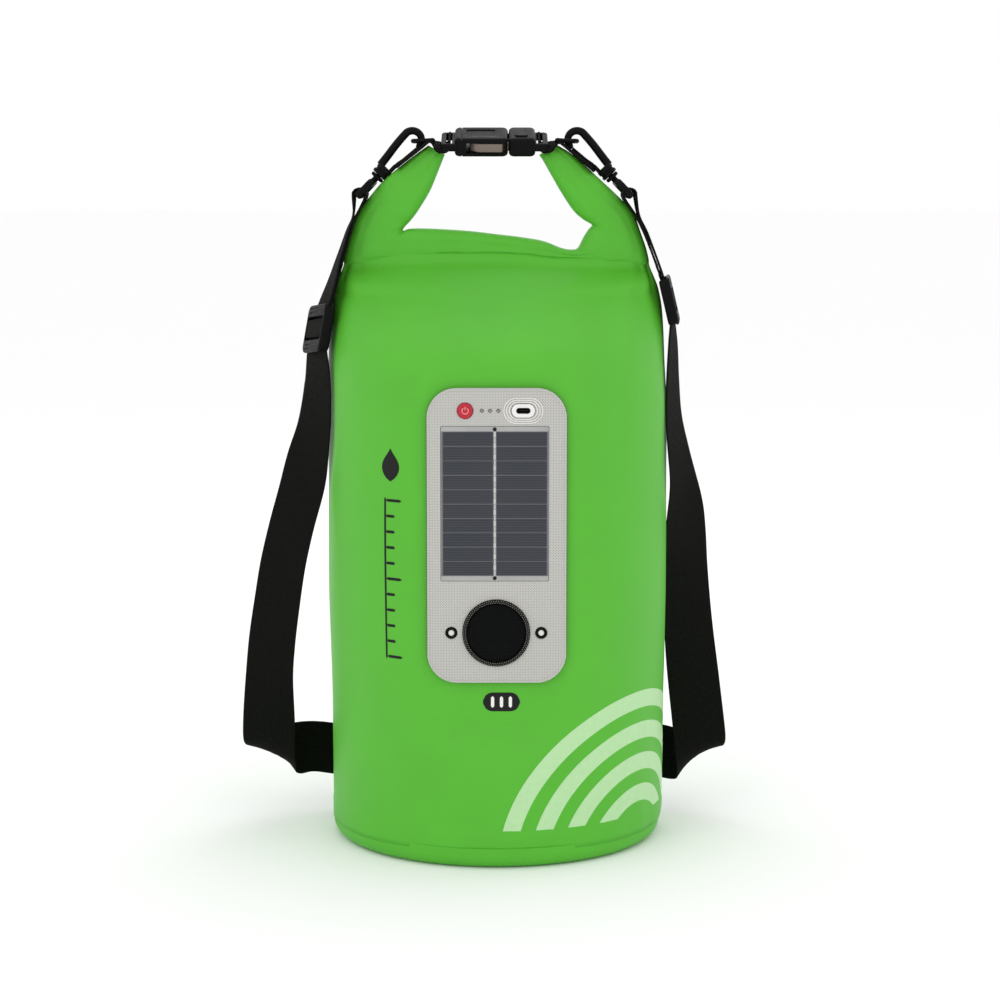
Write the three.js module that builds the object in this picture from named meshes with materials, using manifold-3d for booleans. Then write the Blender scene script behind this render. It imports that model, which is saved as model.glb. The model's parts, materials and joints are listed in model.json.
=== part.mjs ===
// Roll-top dry bag worn as a backpack, with a solar and battery module in its front.
// Millimetres, +Z up, front towards -Y, +X to the right. The origin is the centre of the flat base.
import * as THREE from "three";
import { mergeVertices } from "three/addons/utils/BufferGeometryUtils.js";
import Module from "manifold-3d";

const wasm = await Module();
wasm.setup();

// ---------------------------------------------------------------- driving dimensions
const GAP = 0.3; // clearance between pieces that touch
const BAG = { radius: 119.5, wall: 1.2, baseRadius: 117, baseTop: 13.7, corner: 10 };
const FRONT = -108.3; // plane that the module flattens the bag's front to
const FLAT_EDGE = 24.5; // degrees from the front where the flat ends
const MODULE = { x: 0.3, z: 227.8, width: 95, height: 199, radius: 20, thick: 2.4 };
const TRAY = { width: 82, height: 186, radius: 14, wall: 2, back: -84 };
const BOARD = { front: -104, z: 252 };
const WINDOW = { x: -1, z: 249.7, width: 72, height: 104 };
const SPEAKER = { z: 162.4, radius: 22.8 };
const LAMP = { x: 30.2, radius: 3.8 };
const CONTROL_Z = 312.2; // height of the row of button, indicators and socket
const BUTTON = { x: -20.7, radius: 5.2, flange: 6.4 };
const INDICATORS = { first: -9.6, step: 5.5, radius: 1.1 };
const SOCKET = { x: 18, width: 8.9, height: 3.2 };
const WEBBING = { width: 38, thick: 1.8 };
const ARM_FOOT = 404.3; // lowest point of the folded roll ends
const BUCKLE = { z: 492.8, tilt: 15, width: 33, thick: 11 };
const HOOK = { x: -79.2, z: 470.5, angle: 44, crown: 32, ring: 6.6, wire: 2 };

// ---------------------------------------------------------------- materials
const finish = (color, roughness, metalness = 0) =>
  new THREE.MeshStandardMaterial({ color, roughness, metalness });
const GREEN_FABRIC = finish(0x5bb63c, 0.55);
const BLACK_WEBBING = finish(0x0f100d, 0.9);
const BLACK_PLASTIC = finish(0x121212, 0.35);
const GREY_PLATE = finish(0xb7bab2, 0.5);
const DARK_CELL = finish(0x3a3c41, 0.2);
const WHITE_PLASTIC = finish(0xdcd8d7, 0.4);
const RED_BUTTON = finish(0xbe3c4b, 0.4);
const SPEAKER_CLOTH = finish(0x0d0e0e, 0.95);
const STEEL = finish(0x9a9a9a, 0.3, 1);
const CIRCUIT_GREEN = finish(0x1f5a35, 0.5);
const BATTERY_WRAP = finish(0x2c4f8c, 0.5);
const CLEAR_LENS = finish(0xf4f4ee, 0.1);
const RUBBER = finish(0x222222, 0.9);

// ---------------------------------------------------------------- geometry helpers
const degrees = THREE.MathUtils.degToRad;
const at = (x, y, z) => new THREE.Vector3(x, y, z);

function solidOf(geometry) {
  const bare = geometry.clone();
  bare.deleteAttribute("normal");
  bare.deleteAttribute("uv");
  const merged = mergeVertices(bare, 1e-4);
  const mesh = new wasm.Mesh({
    numProp: 3,
    vertProperties: merged.attributes.position.array,
    triVerts: new Uint32Array(merged.index.array),
  });
  return new wasm.Manifold(mesh);
}

function geometryOf(solid) {
  const mesh = solid.getMesh();
  const geometry = new THREE.BufferGeometry();
  geometry.setAttribute("position", new THREE.BufferAttribute(mesh.vertProperties, 3));
  geometry.setIndex(new THREE.BufferAttribute(mesh.triVerts, 1));
  geometry.computeVertexNormals();
  return geometry;
}

const join = (...parts) => geometryOf(parts.map(solidOf).reduce((sum, part) => sum.add(part)));
const cut = (base, ...tools) =>
  geometryOf(tools.map(solidOf).reduce((rest, tool) => rest.subtract(tool), solidOf(base)));

function signedVolume(geometry) {
  const position = geometry.attributes.position;
  const corner = (i) => new THREE.Vector3().fromBufferAttribute(position, geometry.index.getX(i));
  let volume = 0;
  for (let i = 0; i < geometry.index.count; i += 3) {
    volume += corner(i).dot(corner(i + 1).cross(corner(i + 2))) / 6;
  }
  return volume;
}

// Skin over rings that all have the same number of points. A loop joins the last ring to the first.
function loft(rings, loop = false) {
  const around = rings[0].length;
  const faces = [];
  const bands = loop ? rings.length : rings.length - 1;
  for (let r = 0; r < bands; r += 1) {
    const low = r * around;
    const high = ((r + 1) % rings.length) * around;
    for (let i = 0; i < around; i += 1) {
      const j = (i + 1) % around;
      faces.push(low + i, low + j, high + i, low + j, high + j, high + i);
    }
  }
  const end = (rings.length - 1) * around;
  for (let i = 1; !loop && i < around - 1; i += 1) {
    faces.push(0, i + 1, i, end, end + i, end + i + 1);
  }
  const geometry = new THREE.BufferGeometry();
  const points = rings.flat().flatMap((point) => point.toArray());
  geometry.setAttribute("position", new THREE.Float32BufferAttribute(points, 3));
  geometry.setIndex(faces);
  if (signedVolume(geometry) < 0) {
    geometry.setIndex(faces.slice().reverse());
  }
  geometry.computeVertexNormals();
  return geometry;
}

// A flat strap along a smooth path. Each station is { at, across }, and across is the width's direction.
function ribbon(stations, width, thick, steps) {
  const path = new THREE.CatmullRomCurve3(stations.map((s) => s.at), false, "catmullrom", 0.5);
  const sides = new THREE.CatmullRomCurve3(stations.map((s) => s.across), false, "catmullrom", 0.5);
  const rings = [];
  for (let i = 0; i <= steps; i += 1) {
    const centre = path.getPoint(i / steps);
    const along = path.getTangent(i / steps);
    const normal = along.clone().cross(sides.getPoint(i / steps)).normalize();
    const across = normal.clone().cross(along).normalize();
    const corner = (a, n) =>
      centre.clone().addScaledVector(across, (a * width) / 2).addScaledVector(normal, (n * thick) / 2);
    rings.push([corner(-1, -1), corner(1, -1), corner(1, 1), corner(-1, 1)]);
  }
  return loft(rings);
}

// A round wire through the points, closed on itself when loop is set.
function wire(points, radius, steps, loop = false, sides = 8) {
  const path = new THREE.CatmullRomCurve3(points, loop);
  const frames = path.computeFrenetFrames(steps, loop);
  const rings = [];
  for (let i = 0; i < steps + (loop ? 0 : 1); i += 1) {
    const centre = path.getPointAt(i / steps);
    const ring = [];
    for (let k = 0; k < sides; k += 1) {
      const turn = (2 * Math.PI * k) / sides;
      ring.push(
        centre
          .clone()
          .addScaledVector(frames.normals[i], radius * Math.cos(turn))
          .addScaledVector(frames.binormals[i], radius * Math.sin(turn)),
      );
    }
    rings.push(ring);
  }
  return loft(rings, loop);
}

function roundedRect(width, height, radius) {
  const [x, y] = [width / 2, height / 2];
  const shape = new THREE.Shape();
  shape.moveTo(-x + radius, -y);
  shape.lineTo(x - radius, -y);
  shape.absarc(x - radius, -y + radius, radius, -Math.PI / 2, 0);
  shape.lineTo(x, y - radius);
  shape.absarc(x - radius, y - radius, radius, 0, Math.PI / 2);
  shape.lineTo(-x + radius, y);
  shape.absarc(-x + radius, y - radius, radius, Math.PI / 2, Math.PI);
  shape.lineTo(-x, -y + radius);
  shape.absarc(-x + radius, -y + radius, radius, Math.PI, 1.5 * Math.PI);
  return shape;
}

const extrude = (shape, depth, curveSegments = 3) =>
  new THREE.ExtrudeGeometry(shape, { depth, bevelEnabled: false, curveSegments });
// The shape's own x and y lie along X and Z, from the plane y = front back to y = back.
const facingFront = (shape, front, back, x = 0, z = 0) =>
  extrude(shape, back - front).rotateX(Math.PI / 2).translate(x, back, z);
// The shape's own x and y lie along Z and Y.
const alongX = (shape, low, high) =>
  extrude(shape, high - low).rotateY(Math.PI / 2).translate(low, 0, 0);
const box = (low, high) =>
  new THREE.BoxGeometry(high[0] - low[0], high[1] - low[1], high[2] - low[2]).translate(
    (low[0] + high[0]) / 2,
    (low[1] + high[1]) / 2,
    (low[2] + high[2]) / 2,
  );
// A round pin along Y, between y = front and y = back.
const pin = (radius, front, back, x, z, sides = 14) =>
  new THREE.CylinderGeometry(radius, radius, back - front, sides).translate(x, (front + back) / 2, z);
// A solid turned about Y from a profile of [radius, y], which runs either way round.
function turned(profile, x = 0, z = 0, sides = 24) {
  const points = profile.map(([r, y]) => new THREE.Vector2(r, y));
  const solid = new THREE.LatheGeometry(points, sides);
  const made = signedVolume(solid) < 0 ? new THREE.LatheGeometry(points.reverse(), sides) : solid;
  return made.translate(x, 0, z);
}
const turnedRing = (profile, x, z, sides) => turned([...profile, profile[0]], x, z, sides);
const ringProfile = (inner, outer, front, back) => [
  [inner, front],
  [outer, front],
  [outer, back],
  [inner, back],
];

// Piecewise linear value at a height, from rows of [height, value, ...].
function valueAt(rows, height, column) {
  const next = rows.findIndex((row) => row[0] >= height);
  if (next <= 0) {
    return rows.at(next === 0 ? 0 : -1)[column];
  }
  const [low, high] = [rows[next - 1], rows[next]];
  const share = (height - low[0]) / (high[0] - low[0]);
  return low[column] + share * (high[column] - low[column]);
}

const part = new THREE.Group();
function add(name, geometry, material, parent = part) {
  const mesh = new THREE.Mesh(geometry, material);
  mesh.name = name;
  parent.add(mesh);
  return mesh;
}
function mirrored() {
  const group = new THREE.Group();
  group.scale.x = -1;
  part.add(group);
  return group;
}
const sideGroup = { left: part, right: mirrored() };

// ---------------------------------------------------------------- bag
// Height, half width, half depth.
const SHELL = [
  [14, 117, 117],
  [65, 118, 118],
  [100, 118.5, 118.5],
  [200, 119.5, 119.3],
  [330, 118.9, 119.2],
  [345, 118.5, 111],
  [360, 118, 94],
  [375, 117.2, 70],
  [388, 115.8, 46],
  [398, 113.2, 24],
  [404, 110.4, 10],
];
const FLAT_RUN_IN = [65, 100]; // heights where the front turns from round to flat

function frontLimit(height) {
  const [low, high] = FLAT_RUN_IN;
  return -FRONT + (BAG.radius + FRONT) * (1 - THREE.MathUtils.smoothstep(height, low, high));
}

// Directions around the bag, starting at the front, with one on each edge of the flat front.
function shellDirections() {
  const turns = [0, 12, FLAT_EDGE];
  for (let turn = 36; turn <= 324; turn += 9) {
    turns.push(turn);
  }
  turns.push(360 - FLAT_EDGE, 348);
  return turns.map((turn) => degrees(turn - 90));
}

function shellRing(height, inset) {
  const halfWidth = valueAt(SHELL, height, 1) - inset;
  const depthSlope = (valueAt(SHELL, height - 2, 2) - valueAt(SHELL, height, 2)) / 2;
  const halfDepth = valueAt(SHELL, height, 2) - inset * Math.hypot(1, depthSlope);
  const limit = frontLimit(height) - inset;
  return shellDirections().map((turn) =>
    at(halfWidth * Math.cos(turn), Math.max(halfDepth * Math.sin(turn), -limit), height),
  );
}

const CLAMP_SCREWS = [-1, 1].flatMap((side) => [-1, 1].map((end) => [44.1 * side, 60 * end]));

function screwHoles(radius, front, back) {
  return CLAMP_SCREWS.map(([x, z]) => pin(radius, front, back, MODULE.x + x, MODULE.z + z, 8));
}

function bag() {
  const heights = [14, 65, 82, 100, 200, 330, 345, 360, 375, 388, 398, 404];
  const outer = heights.map((height) => shellRing(height, 0));
  const inner = heights.map((height) => shellRing(height, BAG.wall)).reverse();
  const opening = roundedRect(TRAY.width + 2, TRAY.height + 2, TRAY.radius + 1);
  const hole = facingFront(opening, FRONT - 4, FRONT + 6, MODULE.x, MODULE.z);
  const holes = screwHoles(1.6, FRONT - 4, FRONT + 6);
  add("bag_body", cut(loft([...outer, ...inner], true), hole, ...holes), GREEN_FABRIC);

  const floor = 1.5;
  const corner = BAG.baseRadius - BAG.corner;
  const arc = (radius, turn) => [
    corner + radius * Math.sin(degrees(turn)),
    BAG.corner - radius * Math.cos(degrees(turn)),
  ];
  const innerCorner = BAG.corner - floor;
  const profile = [
    [0, 0],
    ...[0, 30, 60, 90].map((turn) => arc(BAG.corner, turn)),
    [BAG.baseRadius, BAG.baseTop],
    [BAG.baseRadius - floor, BAG.baseTop],
    ...[90, 45, 0].map((turn) => arc(innerCorner, turn)),
    [0, floor],
  ];
  add("base_panel", turned(profile, 0, 0, 40).rotateX(Math.PI / 2), GREEN_FABRIC);

  const band = turnedRing(ringProfile(113.7, 114.7, 11, 27), 0, 0, 40).rotateX(Math.PI / 2);
  add("base_weld_band", band, GREEN_FABRIC);

  const seam = [29, 130, 230, 320, 340, 358, 372].map((height) => ({
    at: at(0, valueAt(SHELL, height, 2) - 6, height),
    across: at(1, 0, 0),
  }));
  add("back_seam_tape", ribbon(seam, 24, 0.8, 14), GREEN_FABRIC);
}

// ---------------------------------------------------------------- rolled mouth
function superellipse(centre, a, b, power, count) {
  const ring = [];
  for (let i = 0; i < count; i += 1) {
    const turn = (2 * Math.PI * (i + 0.5)) / count;
    const c = Math.sign(Math.cos(turn)) * Math.abs(Math.cos(turn)) ** (2 / power);
    const s = Math.sign(Math.sin(turn)) * Math.abs(Math.sin(turn)) ** (2 / power);
    ring.push(centre.clone().addScaledVector(a, c).addScaledVector(b, s));
  }
  return ring;
}

function roll() {
  const foot = 404.6;
  const halfDepth = 9;
  // X and the top's height there.
  const top = [
    [-76.6, 411],
    [-71, 418.5],
    [-65, 427],
    [-57, 430.5],
    [-10, 428.5],
    [22, 424.5],
    [42, 419],
    [57, 414],
    [66, 412],
    [76.6, 410.5],
  ];
  const rings = top.map(([x, height]) =>
    superellipse(
      at(x, 0, (foot + height) / 2),
      at(0, halfDepth, 0),
      at(0, 0, (height - foot) / 2),
      3.5,
      12,
    ),
  );
  add("roll_middle", loft(rings), GREEN_FABRIC);
}

// Each station of a folded-up roll end: outer x and z, inner x and z, half thickness.
const ARM = [
  [-107, ARM_FOOT, -77.3, ARM_FOOT, 9],
  [-104.8, 414, -77.3, 414, 9],
  [-101.3, 427, -70.8, 424.5, 9],
  [-95.5, 441.5, -65.5, 433, 8.8],
  [-87.5, 451.5, -60.7, 441, 8.4],
  [-77.5, 462, -51.4, 454.6, 7.6],
  [-66.5, 472, -45, 470, 6.8],
  [-56, 480, -40.4, 481.5, 5.8],
  [-47.5, 485.5, -41, 486, 4.6],
];

function rollArm(side) {
  const rings = ARM.map(([outerX, outerZ, innerX, innerZ, half]) => {
    const outer = at(outerX, 0, outerZ);
    const inner = at(innerX, 0, innerZ);
    const centre = outer.clone().add(inner).multiplyScalar(0.5);
    const reach = outer.clone().sub(inner).multiplyScalar(0.5);
    return superellipse(centre, reach, at(0, half, 0), 3, 12);
  });
  add(`roll_arm_${side}`, loft(rings), GREEN_FABRIC, sideGroup[side]);
}

// ---------------------------------------------------------------- handle buckle
const buckle = new THREE.Group();
buckle.position.z = BUCKLE.z;
buckle.rotation.x = degrees(BUCKLE.tilt);
part.add(buckle);
const SLOT = { width: 27, reach: 4.8 };

function buckleEnd(low, high, slotLow) {
  const half = BUCKLE.width / 2;
  const frame = extrude(roundedRect(high - low, 2 * half, 3), 5.2).translate((low + high) / 2, 0, -2.6);
  const slot = box([slotLow, -SLOT.width / 2, -6], [slotLow + SLOT.reach, SLOT.width / 2, 6]);
  return { frame, slot };
}

function buckleParts() {
  const half = BUCKLE.width / 2;
  const block = roundedRect(BUCKLE.thick, BUCKLE.width, 3.4);
  const femaleEnd = buckleEnd(-38.5, -26, -35.4);
  const cavity = box([-22, -13.4, -3.6], [9, 13.4, 3.6]);
  const windows = box([-20, -half - 1, -3.6], [-3, half + 1, 3.6]);
  const shell = join(alongX(block, -29, 8), femaleEnd.frame);
  add("buckle_socket", cut(shell, femaleEnd.slot, cavity, windows), BLACK_PLASTIC, buckle);

  const maleEnd = buckleEnd(24, 35.6, 27.7);
  const guide = box([-13, -3, -2.1], [10, 3, 2.1]);
  const male = join(alongX(block, 8.6, 27), maleEnd.frame, guide);
  add("buckle_plug", cut(male, maleEnd.slot), BLACK_PLASTIC, buckle);

  const outline = [
    [7.6, 9.4],
    [7.6, 12.7],
    [-6.5, 12.7],
    [-7.5, 15.3],
    [-12, 15],
    [-18, 11.4],
    [-18, 9.4],
  ];
  for (const [name, sign] of [["front", -1], ["back", 1]]) {
    const shape = new THREE.Shape(outline.map(([x, y]) => new THREE.Vector2(x, sign * y)));
    add(`buckle_prong_${name}`, extrude(shape, 4.2).translate(0, 0, -2.1), BLACK_PLASTIC, buckle);
  }
}

// Webbing from the buckle's end bar over the tip of a roll end. barX is the bar's middle.
function rimWebbing(side, barX) {
  const tilt = degrees(BUCKLE.tilt);
  const tilted = at(0, Math.cos(tilt), Math.sin(tilt));
  const flat = at(0, 1, 0);
  // Up through the buckle's slot and under its bar, as offsets from the bar in the buckle's plane.
  const wrap = [
    [4.4, 4],
    [4.3, 0],
    [3, -3.2],
    [0, -4.4],
    [-4.5, -3.2],
  ].map(([x, up]) => ({
    at: at(barX + x, -up * Math.sin(tilt), BUCKLE.z + up * Math.cos(tilt)),
    across: tilted,
  }));
  // Then down along the roll end's outer edge.
  const run = [
    [-47, 489.2],
    [-52.5, 484.9],
    [-60, 478.9],
    [-66, 474],
  ].map(([x, z]) => ({ at: at(x, 0, z), across: flat }));
  add(`rim_webbing_${side}`, ribbon([...wrap, ...run], 25, 1.6, 20), BLACK_WEBBING, sideGroup[side]);
}

// ---------------------------------------------------------------- snap hooks
function dRing(side) {
  const [bar, bow, legs, half, height] = [-44.5, -57, -50.5, 8, 493.5];
  const points = [
    [bar, -half + 1.5],
    [bar, 0],
    [bar, half - 1.5],
    [bar - 1.2, half],
    [legs, half],
    [bow + 1.7, half * 0.62],
    [bow, 0],
    [bow + 1.7, -half * 0.62],
    [legs, -half],
    [bar - 1.2, -half],
  ].map(([x, y]) => at(x, y, height));
  add(`d_ring_${side}`, wire(points, 1.4, 24, true, 6), BLACK_PLASTIC, sideGroup[side]);
}

// The hook's own frame: Z runs from the swivel to the crown, and X points in, towards the bag.
function snapHook(side) {
  const group = new THREE.Group();
  group.position.set(HOOK.x, 0, HOOK.z);
  group.rotation.y = degrees(HOOK.angle);
  sideGroup[side].add(group);
  const turnedUp = (profile) => turned(profile, 0, 0, 12).rotateX(Math.PI / 2);

  const collar = turnedUp([[2.4, -3.5], [5.8, -3.5], [5.8, 4], [2.4, 4], [2.4, -3.5]]);
  const spine = [[-4.9, 2.2], [-5.4, 10], [-6.3, 22]].map(([x, z]) => at(x, 0, z));
  const crown = [0, 30, 60, 90, 120, 150, 180].map((turn) =>
    at(-HOOK.ring * Math.cos(degrees(turn)), 0, HOOK.crown + HOOK.ring * Math.sin(degrees(turn))),
  );
  const ears = [-1, 1].map((sign) =>
    box([2.7, Math.min(2.3 * sign, 4 * sign), 3], [5.6, Math.max(2.3 * sign, 4 * sign), 9.8]),
  );
  const hook = join(collar, wire([...spine, ...crown], HOOK.wire, 16, false, 6), ...ears);
  add(`hook_${side}`, hook, BLACK_PLASTIC, group);

  const gate = new THREE.BoxGeometry(2.4, 3.6, 22).translate(0, 0, 10.6).rotateY(degrees(6.4));
  const knuckle = new THREE.CylinderGeometry(1.5, 1.5, 3.8, 12);
  add(`hook_gate_${side}`, join(gate, knuckle).translate(4.2, 0, 7.8), BLACK_PLASTIC, group);

  const frame = extrude(roundedRect(5, 46, 2), 19).translate(0, 0, -27.5);
  const slot = box([-4, -20, -23.5], [4, 20, -12.5]);
  const swivel = turnedUp([
    [0, -9],
    [2, -9],
    [2, -6.2],
    [5, -6.2],
    [5, -3.9],
    [2, -3.9],
    [2, 4.4],
    [2.9, 4.4],
    [2.9, 6.2],
    [0, 6.2],
  ]);
  add(`swivel_eye_${side}`, join(cut(frame, slot), swivel), BLACK_PLASTIC, group);
}

// ---------------------------------------------------------------- shoulder straps
// Rows of x, y, z and the width's turn in degrees from the Y axis. Both lists run down from the top.
const LEFT_STRAP = [
  [-117.5, -9, 395, 25],
  [-121.6, -12.7, 372, 25],
  [-125.7, -16.3, 349, 25],
  [-129.8, -20, 326, 25],
  [-131.6, -20, 305, 42],
  [-134.5, -17, 279, 57],
  [-139.3, -12, 250, 74],
  [-147, -10, 222, 84],
  [-153, -6, 193, 88],
  [-158, 0, 164, 90],
  [-162, 5, 135, 90],
  [-165, 10, 106, 90],
];
const RIGHT_STRAP = [
  [115.6, 0, 404, 3],
  [119.7, 0, 386.7, 3],
  [123.7, 0, 369.3, 3],
  [127.8, 0, 352, 3],
  [128.4, -4, 330, 8],
  [126.8, -8, 306, 20],
  [129, -9, 279, 30],
  [134.2, -5, 250, 42],
  [137, 8, 222, 56],
  [136.6, 24, 193, 62],
  [136.3, 31, 164, 74],
  [138.6, 32, 135, 84],
  [142, 30, 106, 90],
];
const CURL = { radius: 14, turn: 137, left: [-165.5, 12, 85], right: [145, 27, 82] };
const STRAP_ROWS = { left: LEFT_STRAP, right: RIGHT_STRAP };

// The straight stretch that the slider travels on: its first four rows lie on one line.
function straightStretch(side) {
  const sign = side === "left" ? -1 : 1;
  const [top, low] = [STRAP_ROWS[side][0], STRAP_ROWS[side][3]];
  const start = at(low[0], low[1], low[2]);
  const end = at(top[0], top[1], top[2]);
  const up = end.clone().sub(start).normalize();
  const turn = degrees(top[3]);
  const across = at(Math.sin(turn), sign * Math.cos(turn), 0);
  const out = across.clone().cross(up).normalize();
  return { sign, turn: top[3], start, end, up, out, across: up.clone().cross(out) };
}

// The strap rolls over a diagonal line and heads for the back of the bag.
function curlStations(sign, start) {
  const stations = [];
  for (let turn = 0; turn <= CURL.turn; turn += CURL.turn / 6) {
    const psi = degrees(turn);
    const advance = (CURL.radius * psi) / Math.SQRT2;
    const swing = (CURL.radius * Math.sin(psi)) / Math.SQRT2;
    const x = -sign * (advance - swing);
    const z = -advance - swing;
    const y = CURL.radius * (1 - Math.cos(psi));
    const [c, s] = [Math.cos(psi) / 2, Math.sin(psi) / Math.SQRT2];
    stations.push({
      at: at(start[0] + x, start[1] + y, start[2] + z),
      across: at(-sign * (0.5 + c), -s, -0.5 + c),
    });
  }
  return stations;
}

function strapStations(side) {
  const sign = side === "left" ? -1 : 1;
  const hanging = STRAP_ROWS[side].map(([x, y, z, turn]) => ({
    at: at(x, y, z),
    across: at(Math.sin(degrees(turn)), sign * Math.cos(degrees(turn)), 0).multiplyScalar(-sign),
  }));
  const tail = [
    [113, 54.5, 48],
    [105.4, 61.4, 46],
    [100.4, 69, 45.3],
    [93.8, 77.8, 45],
  ].map(([x, y, z]) => ({ at: at(sign * x, y, z), across: at(0, 0, -1) }));
  return [...hanging, ...curlStations(sign, CURL[side]), ...tail];
}

function shoulderStrap(side) {
  const strap = ribbon(strapStations(side), WEBBING.width, WEBBING.thick, 66);
  add(`shoulder_strap_${side}`, strap, BLACK_WEBBING);
}

// Doubled webbing from the top of a shoulder strap, round the swivel's end bar and back.
function upperStrap(side) {
  const { sign, turn, end, up, out, across } = straightStretch(side);
  const angle = degrees(HOOK.angle);
  const bar = 25.5;
  const barX = -HOOK.x + bar * Math.sin(angle);
  const barZ = HOOK.z - bar * Math.cos(angle);
  const layer = 1.3;
  const reach = 4.9;
  const foot = (height, offset) => ({
    at: end.clone().addScaledVector(up, height).addScaledVector(out, offset),
    across,
  });
  const station = (x, z, share) => ({
    at: at(sign * x, end.y * share, z),
    across: at(Math.sin(degrees(turn * share)), sign * Math.cos(degrees(turn * share)), 0),
  });
  const loop = [-20, 40, 100, 160, 220].map((psi) =>
    station(barX + reach * Math.cos(degrees(psi)), barZ + reach * Math.sin(degrees(psi)), 0),
  );
  const stations = [
    foot(1, layer),
    foot(7, layer),
    station(107.8 + layer, 429, 0.35),
    station(103.2 + layer, 441, 0.1),
    ...loop,
    station(101.4 - layer, 439.5, 0.1),
    station(106.8 - layer, 428.4, 0.35),
    foot(9, -layer),
  ];
  add(`strap_upper_${side}`, ribbon(stations, WEBBING.width, 1.6, 36), BLACK_WEBBING);
}

// A three-bar slide: end bars in front of the webbing and the centre bar behind it.
const SLIDER = { width: 44, height: 34, half: 3.8, channel: 19.7, bar: 4, left: 359, right: 380 };

function slider(side) {
  const { start, end, up, out, across } = straightStretch(side);
  const share = (SLIDER[side] - start.z) / (end.z - start.z);
  const { width, height, half, channel, bar } = SLIDER;
  const body = extrude(roundedRect(width, height, 5), 2 * half).translate(0, 0, -half);
  const webbingPath = box([-channel, -height, -1.35], [channel, height, 1.35]);
  const frontWindow = box([-channel, -8.5, 0], [channel, 8.5, half + 1]);
  const lowWindow = box([-channel, -height, -half - 1], [channel, -bar, 0]);
  const highWindow = box([-channel, bar, -half - 1], [channel, height, 0]);
  const frame = cut(body, webbingPath, frontWindow, lowWindow, highWindow);
  const mesh = add(`strap_slider_${side}`, frame, BLACK_PLASTIC);
  mesh.quaternion.setFromRotationMatrix(new THREE.Matrix4().makeBasis(across, up, out));
  mesh.position.lerpVectors(start, end, share);
}

function anchorPatch(side) {
  const [inner, outer, low, high] = [118.6, 119.5, 19, 71];
  const rings = [];
  for (let turn = 22; turn <= 50; turn += 4) {
    const direction = at(Math.cos(degrees(turn)), Math.sin(degrees(turn)), 0);
    const corner = (radius, z) => direction.clone().multiplyScalar(radius).setZ(z);
    rings.push([corner(inner, low), corner(outer, low), corner(outer, high), corner(inner, high)]);
  }
  const opposite = side === "left" ? sideGroup.right : sideGroup.left;
  add(`strap_anchor_patch_${side}`, loft(rings), BLACK_WEBBING, opposite);
}

// ---------------------------------------------------------------- solar and battery module
const PLATE = { back: FRONT - 1.6, front: FRONT - 1.6 - MODULE.thick };

function faceplateAndSeals() {
  const { x, z } = MODULE;
  const outline = roundedRect(MODULE.width, MODULE.height, MODULE.radius);
  const through = [PLATE.front - 1, PLATE.back + 1];
  const ledge = facingFront(
    roundedRect(WINDOW.width - 6, WINDOW.height - 6, 1),
    ...through,
    WINDOW.x,
    WINDOW.z,
  );
  const recess = facingFront(
    roundedRect(WINDOW.width + 0.6, WINDOW.height + 0.6, 1),
    PLATE.front - 1,
    PLATE.front + 1.4,
    WINDOW.x,
    WINDOW.z,
  );
  const socketHole = facingFront(roundedRect(16.2, 9.8, 4.8), ...through, SOCKET.x, CONTROL_Z);
  const lampHoles = [-1, 1].map((sign) => pin(4.1, ...through, sign * LAMP.x, SPEAKER.z));
  const plate = cut(
    facingFront(outline, PLATE.front, PLATE.back, x, z),
    ledge,
    recess,
    socketHole,
    ...lampHoles,
    ...indicatorPositions().map((px) => pin(1.4, ...through, px, CONTROL_Z, 8)),
    pin(BUTTON.radius + 0.3, ...through, BUTTON.x, CONTROL_Z),
    pin(20, ...through, 0, SPEAKER.z, 24),
    ...screwHoles(1.6, PLATE.back - 1.6, PLATE.back + 1),
  );
  add("module_faceplate", plate, GREY_PLATE);

  const throat = roundedRect(TRAY.width + 1.4, TRAY.height + 1.4, TRAY.radius + 0.7);
  const gasket = cut(
    facingFront(roundedRect(94, 198, 19.5), PLATE.back + GAP, FRONT - GAP, x, z),
    facingFront(throat, FRONT - 4, FRONT, x, z),
    ...screwHoles(1.6, FRONT - 4, FRONT),
  );
  add("module_gasket", gasket, RUBBER);

  const inside = FRONT + BAG.wall + GAP;
  const clamp = cut(
    facingFront(roundedRect(93, 197, 19), inside, inside + 1.8, x, z),
    facingFront(throat, inside - 1, inside + 4, x, z),
    ...screwHoles(1.6, inside - 1, inside + 4),
  );
  add("module_clamp_frame", clamp, GREY_PLATE);

  CLAMP_SCREWS.forEach(([dx, dz], i) => {
    const shank = pin(1.2, PLATE.back - 1.3, inside + 2.6, x + dx, z + dz, 8);
    const head = pin(2.2, inside + 2.1, inside + 3.7, x + dx, z + dz, 8);
    add(`clamp_screw_${i + 1}`, join(shank, head), STEEL);
  });
}

function indicatorPositions() {
  return [0, 1, 2].map((i) => INDICATORS.first + i * INDICATORS.step);
}

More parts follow.
